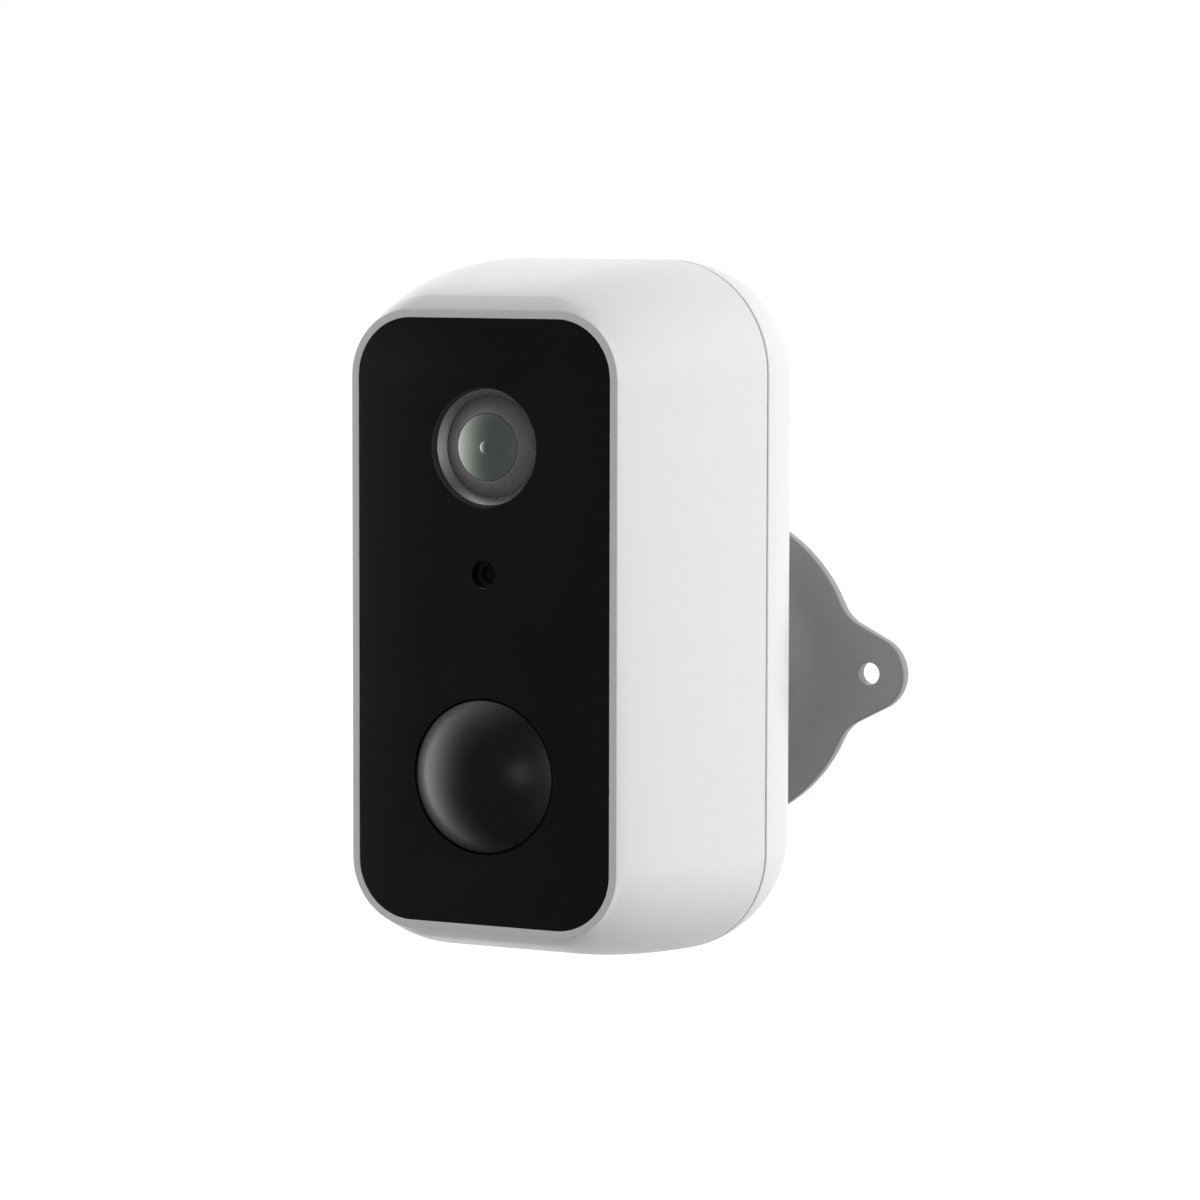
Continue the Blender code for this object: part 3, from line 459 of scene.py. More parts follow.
def dress(obj, node, finish=None, sharp=32, second=None, where=None):
    """Shade an object, give it its finish and let it stand for a CAD node.

    Faces whose centre passes where(depth, radius round the lens axis) take the second finish.
    """
    obj.name = node + "_fine"
    obj.data.name = obj.name
    obj.data.materials.clear()
    obj.data.materials.append(FINISHES[finish or SLOT_OF[node]])
    if second:
        obj.data.materials.append(FINISHES[second])
        for face in obj.data.polygons:
            reach = math.hypot(face.center.x, face.center.z - PANEL_Z - LENS_UP * MM) / MM
            face.material_index = int(where(depth_of(face.center.y), reach))
    obj.data.shade_smooth()
    obj.data.set_sharp_from_angle(angle=math.radians(sharp))
    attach(obj, BODY_OF[node])
    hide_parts(node)
    return obj


def outline(half_width, top, bottom, corner_top, corner_bottom, steps=20):
    """Rounded rectangle as (x, up) points, counter-clockwise as seen from the front."""
    corners = [
        (half_width - corner_top, top - corner_top, corner_top, 0),
        (-half_width + corner_top, top - corner_top, corner_top, 90),
        (-half_width + corner_bottom, -bottom + corner_bottom, corner_bottom, 180),
        (half_width - corner_bottom, -bottom + corner_bottom, corner_bottom, 270),
    ]
    points = []
    for centre_x, centre_up, radius, start in corners:
        for step in range(steps + 1):
            angle = math.radians(start + 90 * step / steps)
            points.append((centre_x + radius * math.cos(angle), centre_up + radius * math.sin(angle)))
    return points


def plain_outline(half_width, half_height, corner, up=0.0, steps=20):
    """Rounded rectangle with equal corners, centred on x = 0 at a height."""
    points = outline(half_width, half_height, half_height, corner, corner, steps)
    return [(x, y + up) for x, y in points]


def lofted(name, rings, hoop=False):
    """Closed body through rings of (depth, outline): capped at both ends, or a hoop."""
    bm = bmesh.new()
    loops = [[bm.verts.new(place(x, depth, up)) for x, up in points] for depth, points in rings]
    count = len(loops[0])
    for near, far in zip(loops, loops[1:] + loops[:1] if hoop else loops[1:]):
        for i in range(count):
            j = (i + 1) % count
            bm.faces.new((near[i], near[j], far[j], far[i]))
    if not hoop:
        bm.faces.new(loops[0])
        bm.faces.new(loops[-1])
    return shape_object(name, bm)


def turned(name, profile, spot, sides=SIDES, open_bore=False, ripple=None):
    """Body turned about a line along Y through spot; profile is (depth, radius) points.

    ripple(depth, radius, angle) may change the radius round the axis.
    """
    bm = bmesh.new()
    rows = []
    for depth, radius in profile:
        if radius < 1e-6:
            rows.append([bm.verts.new(place(spot[0], depth, spot[1]))])
            continue
        row = []
        for i in range(sides):
            angle = 2 * math.pi * i / sides
            reach = ripple(depth, radius, angle) if ripple else radius
            row.append(bm.verts.new(place(spot[0] + reach * math.cos(angle), depth,
                                          spot[1] + reach * math.sin(angle))))
        rows.append(row)
    pairs = list(zip(rows, rows[1:]))
    if open_bore:
        pairs.append((rows[-1], rows[0]))
    for near, far in pairs:
        for i in range(sides):
            j = (i + 1) % sides
            if len(near) == 1:
                bm.faces.new((near[0], far[j], far[i]))
            elif len(far) == 1:
                bm.faces.new((near[i], near[j], far[0]))
            else:
                bm.faces.new((near[i], near[j], far[j], far[i]))
    return shape_object(name, bm)


def rounded(profile, radius, steps=4):
    """Round the corners of a (depth, radius) profile; points on the axis stay sharp."""
    result = []
    count = len(profile)
    for i, (depth, reach) in enumerate(profile):
        before, after = profile[i - 1], profile[(i + 1) % count]
        corner = Vector((depth, reach))
        if reach < 1e-6:
            result.append((depth, reach))
            continue
        to_before, to_after = Vector(before) - corner, Vector(after) - corner
        limit = min(radius, to_before.length * 0.45, to_after.length * 0.45)
        start, end = corner + to_before.normalized() * limit, corner + to_after.normalized() * limit
        for step in range(steps + 1):
            share = step / steps
            point = start.lerp(corner, share).lerp(corner.lerp(end, share), share)
            result.append((point.x, point.y))
    return result


def disc(near, far, radius, spot, sides=48):
    """Plain round cutter or addition between two depths."""
    return turned("tool", [(near, 0), (near, radius), (far, radius), (far, 0)], spot, sides)


def flared(near, face, radius, spot, flare, towards, sides=48):
    """Round cutter that opens by flare where it leaves the surface at depth face."""
    over = 1.5
    profile = [(near, 0), (near, radius), (face - towards * flare, radius),
               (face + towards * over, radius + flare + over), (face + towards * over, 0)]
    return turned("tool", profile, spot, sides)


def flared_slot(near, face, half_width, half_height, corner, up, flare):
    """Rounded rectangular cutter that opens by flare at the back face."""
    over = 1.5
    inside = plain_outline(half_width, half_height, corner, up, 8)
    grow = flare + over
    outside = plain_outline(half_width + grow, half_height + grow, corner + grow, up, 8)
    return lofted("tool", [(near, inside), (face - flare, inside), (face + over, outside)])


def combine(target, tools, operation):
    """Cut the tools out of the target, or join them to it, in one step."""
    merged = bmesh.new()
    for tool in tools:
        merged.from_mesh(tool.data)
        bpy.data.objects.remove(tool)
    cutter = shape_object("cutter", merged)
    modifier = target.modifiers.new("combine", "BOOLEAN")
    modifier.operation = operation
    modifier.solver = "EXACT"
    modifier.use_self = operation == "UNION"
    modifier.object = cutter
    bpy.context.view_layer.update()
    graph = bpy.context.evaluated_depsgraph_get()
    result = bpy.data.meshes.new_from_object(target.evaluated_get(graph))
    target.modifiers.clear()
    target.data = result
    bpy.data.objects.remove(cutter)
    return target


# ---- camera body -----------------------------------------------------------------
def growth(share, power):
    """Superellipse curve that rises from 0 to 1 and levels off."""
    return (1 - (1 - share) ** power) ** (1 / power)


def body_section(depth, inset=0.0):
    """Outline of the camera body at a depth, moved inwards by inset."""
    if depth <= SEAM_DEPTH:
        share, full = depth / FLARE_LENGTH, SEAM_DEPTH / FLARE_LENGTH
        width, upper, lower, turn = [growth(share, power) / growth(full, power) for power in
                                     (WIDTH_CURVE, TOP_CURVE, BOTTOM_CURVE, CORNER_CURVE)]
        half_width = RIM_HALF_WIDTH + (SEAM_HALF_WIDTH - RIM_HALF_WIDTH) * width
        top = RIM_HALF_HEIGHT + (SEAM_TOP - RIM_HALF_HEIGHT) * upper
        bottom = RIM_HALF_HEIGHT + (SEAM_BOTTOM - RIM_HALF_HEIGHT) * lower
        corner_top = RIM_CORNER + (SEAM_CORNER_TOP - RIM_CORNER) * turn
        corner_bottom = RIM_CORNER + (SEAM_CORNER_BOTTOM - RIM_CORNER) * turn
    else:
        share = min((depth - SEAM_DEPTH) / (BODY_DEPTH - SEAM_DEPTH), 1.0)
        drop = 1 - (1 - share ** BACK_CURVE) ** (1 / BACK_CURVE)
        half_width = SEAM_HALF_WIDTH - BACK_INSET_WIDTH * drop
        top = SEAM_TOP - BACK_INSET_HEIGHT * drop
        bottom = SEAM_BOTTOM - BACK_INSET_HEIGHT * drop
        corner_top = SEAM_CORNER_TOP - BACK_INSET_CORNER * drop
        corner_bottom = SEAM_CORNER_BOTTOM - BACK_INSET_CORNER * drop
    return outline(half_width - inset, top - inset, bottom - inset,
                   corner_top - inset, corner_bottom - inset)


def mixed(near, far, share):
    """Ring part of the way between two rings of (depth, outline)."""
    depth = near[0] + (far[0] - near[0]) * share
    points = [(a[0] + (b[0] - a[0]) * share, a[1] + (b[1] - a[1]) * share)
              for a, b in zip(near[1], far[1])]
    return depth, points


def softened(before, corner, after, steps=4):
    """Rings that round off the corner ring between two others."""
    return [mixed(mixed(before, corner, step / steps), mixed(corner, after, step / steps), step / steps)
            for step in range(steps + 1)]


def front_housing():
    """White front shell with a flat rim, the pocket for the panel and screw posts."""
    lip, first_depth, chamfer, post_radius, screw_bore = 0.16, 1.3, 0.12, 3.2, 1.5
    rings = []
    # The pocket's wall, then a lip that reaches in over the panel's edge and sits a little low.
    under, drop, edge = 0.1, -0.07, 0.05
    for depth, grow, shift in ((FLOOR_FRONT, GAP, 0.0), (under, GAP, 0.0), (under, drop, drop),
                               (edge, drop, drop), (0.0, drop + edge, drop)):
        rings.append((depth, plain_outline(PANEL_HALF_WIDTH + grow, PANEL_HALF_HEIGHT + grow,
                                           PANEL_CORNER + grow, shift)))
    corner, first = (0.0, body_section(0.0)), (first_depth, body_section(first_depth))
    rings += softened((0.0, body_section(0.0, lip)), corner, mixed(corner, first, lip / first_depth))
    flare_rings = 30
    for step in range(flare_rings + 1):
        share = (step / flare_rings) ** 1.5
        depth = first_depth + (HOUSING_EDGE - chamfer - first_depth) * share
        rings.append((depth, body_section(depth)))
    rings.append((HOUSING_EDGE, body_section(HOUSING_EDGE, chamfer)))
    inner_depths = (HOUSING_EDGE, 28, 22, 17, 12, 8, FLOOR_BACK)
    rings += [(depth, body_section(depth, WALL)) for depth in inner_depths]
    shell = lofted("shell", rings)
    posts = [disc(FLOOR_BACK - 1, HOUSING_EDGE, post_radius, spot_of(node)) for node in SCREWS]
    combine(shell, posts, "UNION")
    ways = [(8.7, (0, LENS_UP)), (13.0, (0, PIR_UP)), (3.6, (0, MIC_UP))]
    ways += [(2.7, spot_of(f"infrared_led_{number}")) for number in range(1, 5)]
    ways += [(1.8, spot_of(node)) for node in ("light_sensor", "status_led")]
    through_floor = FLOOR_FRONT - 2.5, FLOOR_BACK + 2
    holes = [disc(*through_floor, radius, spot) for radius, spot in ways]
    screw_start = 22
    holes += [disc(screw_start, HOUSING_EDGE + 2, screw_bore, spot_of(node), 24) for node in SCREWS]
    dress(combine(shell, holes, "DIFFERENCE"), "front_housing")


def rear_cover():
    """White rear shell with button holes, speaker grille, port recess and screw tubes."""
    chamfer, flare = 0.12, 0.25
    inner_depths = (BACK_INSIDE, 49.5, 48, 45, 42, 38, COVER_EDGE)
    rings = [(depth, body_section(depth, WALL)) for depth in inner_depths]
    rings.append((COVER_EDGE, body_section(COVER_EDGE, chamfer)))
    back_rings = 30
    for step in range(back_rings + 1):
        share = 1 - (1 - step / back_rings) ** 2.2
        depth = COVER_EDGE + chamfer + (BODY_DEPTH - COVER_EDGE - chamfer) * share
        rings.append((depth, body_section(depth)))
    shell = lofted("shell", rings)
    boss_front, boss_radius, tube_radius, head_floor = 44.2, 7.0, 4.2, 38
    additions = [disc(boss_front, BACK_INSIDE + 1, boss_radius, (0, MOUNT_UP))]
    additions += [disc(COVER_EDGE, BACK_INSIDE + 1, tube_radius, spot_of(node)) for node in SCREWS]
    combine(shell, additions, "UNION")
    holes = [
        flared(44.9, BODY_DEPTH, 4.8, (0, MOUNT_UP), 0.2, 1),
        flared(45, BODY_DEPTH, 4.3, spot_of("power_button"), flare, 1),
        flared(45, BODY_DEPTH, 1.9, spot_of("reset_button"), flare, 1),
        flared_slot(FLAP_BACK - GAP, BODY_DEPTH, FLAP_HALF_WIDTH + GAP, FLAP_HALF_HEIGHT + GAP, 1.6,
                    PORT_UP, flare),
    ]
    angles = [2 * math.pi * i / GRILLE_COUNT for i in range(GRILLE_COUNT)]
    grille = [(GRILLE_RING * math.cos(angle), SPEAKER_UP + GRILLE_RING * math.sin(angle))
              for angle in angles] + [(0, SPEAKER_UP)]
    holes += [flared(BACK_INSIDE - 1, BODY_DEPTH, GRILLE_HOLE, spot, 0.15, 1, 32) for spot in grille]
    holes += [flared(head_floor, BODY_DEPTH, 3.0, spot_of(node), flare, 1) for node in SCREWS]
    combine(shell, holes, "DIFFERENCE")
    port_way = plain_outline(5.2, 2.3, 2.2, PORT_UP, 8)
    ways = [lofted("tool", [(46, port_way), (FLAP_BACK + 0.5, port_way)])]
    ways += [disc(COVER_EDGE - 2, head_floor + 2, 1.8, spot_of(node), 24) for node in SCREWS]
    dress(combine(shell, ways, "DIFFERENCE"), "rear_cover")


def seal_ring():
    """Rubber band inside the seam, with a thin lip that fills the gap between the shells."""
    lip_half, lip_inset, near, far, outer, inner = 0.13, 0.75, 31.0, 36.0, 2.35, 3.2
    profile = [(near, outer), (SEAM_DEPTH - lip_half, outer), (SEAM_DEPTH - lip_half, lip_inset),
               (SEAM_DEPTH + lip_half, lip_inset), (SEAM_DEPTH + lip_half, outer), (far, outer),
               (far, inner), (near, inner)]
    rings = [(depth, body_section(depth, inset)) for depth, inset in profile]
    dress(lofted("seal", rings, hoop=True), "seal_ring")


def front_panel():
    """Gloss black panel with softened edges and the lens, sensor and microphone holes."""
    soft = 0.3
    rings = []
    for step in range(6):
        angle = math.pi / 2 * step / 5
        depth, inset = PANEL_FACE + soft * (1 - math.cos(angle)), soft * (1 - math.sin(angle))
        rings.append((depth, plain_outline(PANEL_HALF_WIDTH - inset, PANEL_HALF_HEIGHT - inset,
                                           PANEL_CORNER - inset)))
    rings.append((PANEL_BACK, plain_outline(PANEL_HALF_WIDTH, PANEL_HALF_HEIGHT, PANEL_CORNER)))
    panel = lofted("panel", rings)
    holes = [
        flared(3, PANEL_FACE, LENS_HOLE, (0, LENS_UP), 0.04, -1, SIDES),
        flared(3, PANEL_FACE, PIR_HOLE, (0, PIR_UP), 0.06, -1, SIDES),
        flared(3, PANEL_FACE, MIC_HOLE, (0, MIC_UP), 0.08, -1),
    ]
    dress(combine(panel, holes, "DIFFERENCE"), "front_panel")


# ---- lens, microphone and motion sensor -------------------------------------
def lens_group():
    """Bezel funnel, barrel face, coated front glass and the pieces seen behind it."""
    spot = (0, LENS_UP)
    # Mouth and dark wall, funnel, lip over the barrel, sleeve, flange behind the panel.
    wall_end, wall_radius = 1.7, 8.2
    bezel = [(0.3, 8.42), (0.3, 8.36), (wall_end, wall_radius), (2.62, 7.1), (2.7, 7.1), (2.7, 7.35),
             (8.0, 7.35), (8.0, 8.1), (2.75, 8.1), (2.75, 9.9), (2.2, 9.9), (2.2, 8.42)]
    dress(turned("bezel", rounded(bezel, 0.03, 2), spot, open_bore=True), "lens_bezel",
          second="bezel_wall", where=lambda depth, reach: depth < wall_end and reach > wall_radius - 0.05)
    # Cone up to the front glass, its seat, the bore and the collar.
    barrel = [(2.82, 7.25), (1.5, 4.95), (1.5, 4.82), (4.4, 4.78), (4.4, 3.4), (13.5, 3.4), (13.5, 6.0),
              (9.2, 6.0), (8.8, 6.85)]
    dress(turned("barrel", rounded(barrel, 0.04, 2), spot, open_bore=True), "lens_barrel", "barrel")
    rim_depth, rim_radius, crown, pupil, pupil_rise = 1.5, 4.74, 0.9, 0.8, 0.09
    ball = (rim_radius ** 2 + (rim_depth - crown) ** 2) / (2 * (rim_depth - crown))
    glass = [(crown - pupil_rise * (1 - (step / 4) ** 2), pupil * step / 4) for step in range(5)]
    for step in range(21):
        radius = pupil + 0.03 + (rim_radius - pupil - 0.03) * step / 20
        glass.append((crown + ball - math.sqrt(ball ** 2 - radius ** 2), radius))
    glass += [(4.1, rim_radius), (4.1, 0)]
    dress(turned("front_glass", glass, spot), "lens_front_glass", "coated_glass", 60)
    iris = [(6.2, 0.9), (6.2, 3.1), (6.6, 3.1), (6.6, 1.0)]
    dress(turned("iris", rounded(iris, 0.08, 2), spot, 64, open_bore=True), "iris_plate")
    rear = [(8.4, 0), (8.45, 0.8), (8.6, 1.6), (9.0, 3.0), (10.2, 3.0), (10.6, 1.6), (10.75, 0.8), (10.8, 0)]
    dress(turned("rear_glass", rear, spot, 64), "lens_rear_glass", sharp=60)


def microphone_gasket():
    """Rubber tube behind the small hole, with a dark mesh disc across it that is also painted shade, keeping
    the hole dark.
    """
    profile = [(2.15, 1.4), (2.15, 3.2), (5.1, 3.2), (5.1, 1.4)]
    tube = turned("gasket", rounded(profile, 0.12, 3), (0, MIC_UP), 64, open_bore=True)
    gasket = dress(tube, "microphone_gasket")
    # Dark foam disc across the bore: a mesh, and also painted shade that hides the board behind the hole.
    cover = [(3.3, 0), (3.35, 0.8), (3.4, 1.3), (3.6, 1.3), (3.55, 0.8), (3.5, 0)]
    mesh_shade_disc = turned("microphone_mesh_shade_disc", cover, (0, MIC_UP), 48)
    mesh_shade_disc.data.materials.append(FINISHES["foam_tape"])
    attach(mesh_shade_disc, gasket["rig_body"])


def motion_dome():
    """Domed window of the motion sensor with its flange."""
    radius, height, base, wall, flange, bore = 10.95, 5.0, 0.35, 0.9, 12.6, 10.0
    flange_front, flange_back = 2.2, 3.4
    outer = (radius ** 2 + height ** 2) / (2 * height)
    inner = outer - wall
    centre = base - height + outer
    steps = 28
    profile = []
    for step in range(steps + 1):
        angle = math.asin(radius / outer) * step / steps
        profile.append((centre - outer * math.cos(angle), outer * math.sin(angle)))
    profile += [(0.5, radius + 0.02), (flange_front, radius + 0.02), (flange_front, flange),
                (flange_back, flange), (flange_back, bore)]
    for step in range(12, -1, -1):
        angle = math.asin(bore / inner) * step / 12
        profile.append((centre - inner * math.cos(angle), inner * math.sin(angle)))
    dress(turned("dome", profile, (0, PIR_UP), 128), "pir_dome_lens")


# ---- fasteners, buttons and port flap ----------------------------------------
def case_screws():
    """Screws with a six-lobed recess, deep in their holes."""
    def lobes(depth, radius, angle):
        return radius * (1 + 0.14 * math.cos(6 * angle)) if depth > 39 and radius < 1.6 else radius

    profile = [(23.5, 0), (23.6, 1.0), (24.1, 1.2), (38.3, 1.2), (38.3, 2.4), (38.5, 2.6), (39.9, 2.6),
               (40.2, 2.4), (40.3, 2.1), (40.3, 1.45), (39.5, 1.35), (39.3, 0)]
    for node in SCREWS:
        dress(turned("screw", profile, spot_of(node), 72, ripple=lobes), node)


def rear_buttons():
    """Power and reset buttons: rounded caps with a shallow dish for the finger."""
    for node, radius, dish in (("power_button", 4.0, 0.22), ("reset_button", 1.6, 0.12)):
        flange, foot, seat, top, edge = radius + 0.9, 49.1, 50.2, 53.5, 0.4
        profile = [(foot, 0), (foot, flange), (seat, flange), (seat, radius)]
        for step in range(7):
            angle = math.pi / 2 * step / 6
            profile.append((top - edge + edge * math.sin(angle), radius - edge + edge * math.cos(angle)))
        for step in range(1, 9):
            share = 1 - step / 8
            profile.append((top - dish * (1 - share ** 2), (radius - 0.5) * share))
        dress(turned("button", profile, spot_of(node)), node)


def port_flap():
    """Soft rubber cover of the charging port with a grip ridge and a plug behind."""
    soft, corner = 0.35, 1.3
    places = [(FLAP_BACK, 0.25), (FLAP_BACK + 0.15, 0.0), (FLAP_FACE - soft, 0.0)]
    for step in range(1, 6):
        angle = math.pi / 2 * step / 5
        places.append((FLAP_FACE - soft * (1 - math.sin(angle)), soft * (1 - math.cos(angle))))
    flap = lofted("flap", [(depth, plain_outline(FLAP_HALF_WIDTH - inset, FLAP_HALF_HEIGHT - inset,
                                                 corner - inset, PORT_UP, 8)) for depth, inset in places])
    plug = lofted("plug", [(FLAP_BACK - 1.2, plain_outline(4.4, 1.2, 1.1, PORT_UP, 8)),
                           (FLAP_BACK - 1.0, plain_outline(4.6, 1.4, 1.3, PORT_UP, 8)),
                           (FLAP_BACK + 0.5, plain_outline(4.6, 1.4, 1.3, PORT_UP, 8))])
    combine(flap, [plug], "UNION")
    grooves = []
    for row in range(3):
        up = PORT_UP + FLAP_HALF_HEIGHT - 1.5 - 0.8 * row
        grooves.append(lofted("tool", [(FLAP_FACE - 0.18, plain_outline(4.0, 0.16, 0.15, up, 6)),
                                       (FLAP_FACE + 1, plain_outline(4.2, 0.3, 0.29, up, 6))]))
    dress(combine(flap, grooves, "DIFFERENCE"), "port_flap", "flap_rubber")


# ---- wall bracket ----------------------------------------------------------------
def mount_depth(out):
    """Depth value of a distance out of the wall."""
    return WALL_DEPTH - out


def plate_outline(inset=0.0):
    """Plate outline moved inwards by inset: a disc with two ears and concave fillets."""
    ear, disc_radius, fillet = EAR_RADIUS - inset, PLATE_RADIUS - inset, PLATE_FILLET + inset
    ear_x = EAR_REACH - EAR_RADIUS
    flank = math.pi / 2 - EAR_TAPER
    offset = ear + fillet
    start = Vector((ear_x + offset * math.cos(flank), offset * math.sin(flank)))
    direction = Vector((-math.cos(EAR_TAPER), math.sin(EAR_TAPER)))
    along = start.dot(direction)
    travel = -along - math.sqrt(along ** 2 - start.length_squared + (disc_radius + fillet) ** 2)
    centre = start + direction * travel
    touch = math.atan2(-centre.y, -centre.x)
    flat = math.atan2(-math.sin(flank), -math.cos(flank))
    rise = math.atan2(centre.y, centre.x)
    quarter = []
    for middle_point, radius, first, last, steps in (
            (Vector((ear_x, 0)), ear, 0.0, flank, 12), (centre, fillet, flat, touch, 12),
            (Vector((0, 0)), disc_radius, rise, math.pi / 2, 24)):
        for step in range(steps + 1):
            angle = first + (last - first) * step / steps
            quarter.append((middle_point.x + radius * math.cos(angle),
                            middle_point.y + radius * math.sin(angle)))
    cleaned = quarter[:1]
    for point in quarter[1:]:
        if (Vector(point) - Vector(cleaned[-1])).length > 0.02:
            cleaned.append(point)
    top = cleaned + [(-x, up) for x, up in reversed(cleaned[:-1])]
    return top + [(x, -up) for x, up in reversed(top[1:-1])]


def bell_rise(share):
    """Height of the bell above the wall; share runs from its foot to the neck."""
    bend = 0.62
    curve = (1 - math.cos(math.pi * share ** 1.1 * bend)) / (1 - math.cos(math.pi * bend))
    return PLATE_THICKNESS + 6.2 * curve


def wall_plate():
    """Wall plate as one skin: back, rounded edge, ears, bell, neck and ball socket."""
    edge, back_edge = 0.25, 0.2
    rings = [(mount_depth(out), plate_outline(inset)) for out, inset in
             [(0.0, back_edge)] + [(back_edge * (1 - math.cos(math.pi / 2 * i / 3)),
                                    back_edge * (1 - math.sin(math.pi / 2 * i / 3))) for i in range(1, 4)]]
    for step in range(5):
        angle = math.pi / 2 * step / 4
        rings.append((mount_depth(PLATE_THICKNESS - edge * (1 - math.sin(angle))),
                      plate_outline(edge * (1 - math.cos(angle)))))
    directions = [Vector(point).normalized() for point in plate_outline(edge)]

    def circle(out, radius):
        rings.append((mount_depth(out), [tuple(direction * radius) for direction in directions]))

    circle(PLATE_THICKNESS, BELL_RADIUS + 1.2)
    bell_steps = 28
    for step in range(bell_steps + 1):
        share = step / bell_steps
        circle(bell_rise(share), BELL_RADIUS + (NECK_RADIUS + 0.4 - BELL_RADIUS) * share)
    for step in range(1, 5):
        angle = math.pi / 2 * step / 4
        foot = bell_rise(1.0)
        circle(foot + 0.9 * (1 - math.cos(angle)), NECK_RADIUS + 0.4 - 0.4 * math.sin(angle))
    circle(NECK_OUT - 0.2, NECK_RADIUS)
    circle(NECK_OUT, NECK_RADIUS - 0.2)
    circle(NECK_OUT, SOCKET_RADIUS + 0.15)
    circle(NECK_OUT - 0.15, SOCKET_RADIUS)
    socket_steps = 10
    for step in range(socket_steps):
        angle = math.pi / 2 * (1 - step / socket_steps)
        circle(BALL_OUT - SOCKET_RADIUS * math.cos(angle), SOCKET_RADIUS * math.sin(angle))
    rings = [(depth, [(x, up + MOUNT_UP) for x, up in points]) for depth, points in rings]
    plate = lofted("plate", rings)
    holes = [flared(mount_depth(-1), mount_depth(PLATE_THICKNESS), EAR_HOLE,
                    (side * EAR_HOLE_OUT, MOUNT_UP), 0.12, -1) for side in (-1, 1)]
    dress(combine(plate, holes, "DIFFERENCE"), "wall_plate")


def arc_profile(out_centre, radius, start, end, steps):
    """(depth, radius) points of a ball-shaped face between two angles from the wall side."""
    points = []
    for step in range(steps + 1):
        angle = math.radians(start + (end - start) * step / steps)
        points.append((mount_depth(out_centre - radius * math.cos(angle)), radius * math.sin(angle)))
    return points


def ball_joint():
    """Grip ring, friction cup, polished ball, threaded stud and knurled thumb nut."""
    spot = (0, MOUNT_UP)
    centre, seat = BALL_OUT, BALL_RADIUS + GAP
    near, far = 8.5, centre + 3.9

    def scallops(depth, radius, angle):
        bite = max(0.0, math.cos(12 * angle) - 0.55) / 0.45
        return radius - 0.5 * bite ** 0.5 if radius > 8.7 else radius

    first = math.degrees(math.acos(-1.6 / seat))
    last = math.degrees(math.acos(-2.5 / seat))
    ring = arc_profile(centre, seat, first, last, 5)
    body = [(mount_depth(far), 6.7), (mount_depth(far), 8.6), (mount_depth(far - 0.9), 9.6),
            (mount_depth(near), 9.6), (mount_depth(near), NECK_RADIUS + GAP),
            (mount_depth(centre + 1.7), NECK_RADIUS + GAP), (mount_depth(centre + 1.7), 6.4)]
    # The two ends belong to the ball's seat, which stays sharp, so their rounded points are dropped.
    corner_steps = 3
    corner_points = corner_steps + 1
    outside = rounded([ring[-1]] + body + [ring[0]], 0.3, corner_steps)
    profile = ring + outside[corner_points:-corner_points]
    dress(turned("ring", profile, spot, 240, open_bore=True, ripple=scallops), "locking_ring")
    cup = arc_profile(centre, seat, 0, 58, 10) + arc_profile(centre, 6.2, 58, 0, 10)
    dress(turned("cup", cup, spot), "friction_cup")
    bore = 1.9
    opening = 180 - math.degrees(math.asin((bore + 0.2) / BALL_RADIUS))
    ball = arc_profile(centre, BALL_RADIUS, 0, opening, 36)
    ball += [(mount_depth(centre + 4.4), bore), (mount_depth(centre - 2), bore), (mount_depth(centre - 2), 0)]
    dress(turned("ball", ball, spot), "pivot_ball")
    stud(spot, centre)
    nut_near, nut_far = centre + 8.8, centre + 10.8
    nut = [(mount_depth(nut_far), 3.35), (mount_depth(nut_far), 7.0), (mount_depth(nut_near), 7.0),
           (mount_depth(nut_near), 3.35)]

    def knurl(depth, radius, angle):
        return radius - 0.22 * (0.5 + 0.5 * math.cos(48 * angle)) if radius > 6.6 else radius

    dress(turned("nut", rounded(nut, 0.3, 3), spot, 384, open_bore=True, ripple=knurl), "thumb_nut")


def stud(spot, centre):
    """Stud with a plain neck and a real tripod-size thread."""
    start, end, major, depth_of_cut, pitch = centre + 7.8, centre + 18.3, 3.05, 0.55, 1.27
    profile = [(centre - 1.7, 0), (centre - 1.7, 1.6), (centre + 7.2, 1.6), (centre + 7.4, 1.8),
               (start, major - depth_of_cut)]
    rows = 84
    for row in range(1, rows):
        profile.append((start + (end - start) * row / rows, major))
    profile += [(end, major - depth_of_cut), (end, 0)]
    profile = [(mount_depth(out), radius) for out, radius in profile]

    def thread(depth, radius, angle):
        if radius < major:
            return radius
        out = mount_depth(depth)
        turn = (out / pitch - angle / (2 * math.pi)) % 1.0
        fade = min(1.0, (out - start) / 0.5, (end - out) / 0.7)
        crest = min(1.0, abs(turn - 0.5) * 2.3)
        return major - depth_of_cut + depth_of_cut * crest * max(0.0, fade)

    dress(turned("stud", profile, spot, 72, ripple=thread), "stud_screw", sharp=50)


def mount_insert():
    """Brass insert with a chamfered mouth and a knurled outside."""
    near, far, outer, bore = 45.2, 52.8, 4.5, 3.35

    def knurl(depth, radius, angle):
        inside = near + 0.8 < depth < far - 0.8
        if inside and radius > bore + 0.5:
            return radius - 0.15 * (0.5 + 0.5 * math.cos(36 * angle))
        return radius

    profile = [(near, bore), (near, outer - 0.3), (near + 0.3, outer), (near + 0.8, outer),
               (near + 1.0, outer), (far - 1.0, outer), (far - 0.8, outer), (far - 0.2, outer),
               (far, outer - 0.2), (far, bore + 0.25), (far - 0.25, bore)]
    dress(turned("insert", profile, (0, MOUNT_UP), 288, open_bore=True, ripple=knurl), "mount_insert")


# ---- stage, light and camera -----------------------------------------------------
def direction_from(azimuth, elevation):
    """Unit vector towards a compass direction; azimuth 0 is in front of the lens, 90 on its right."""
    turn, rise = math.radians(azimuth), math.radians(elevation)
    return Vector((math.sin(turn) * math.cos(rise), -math.cos(turn) * math.cos(rise), math.sin(rise)))


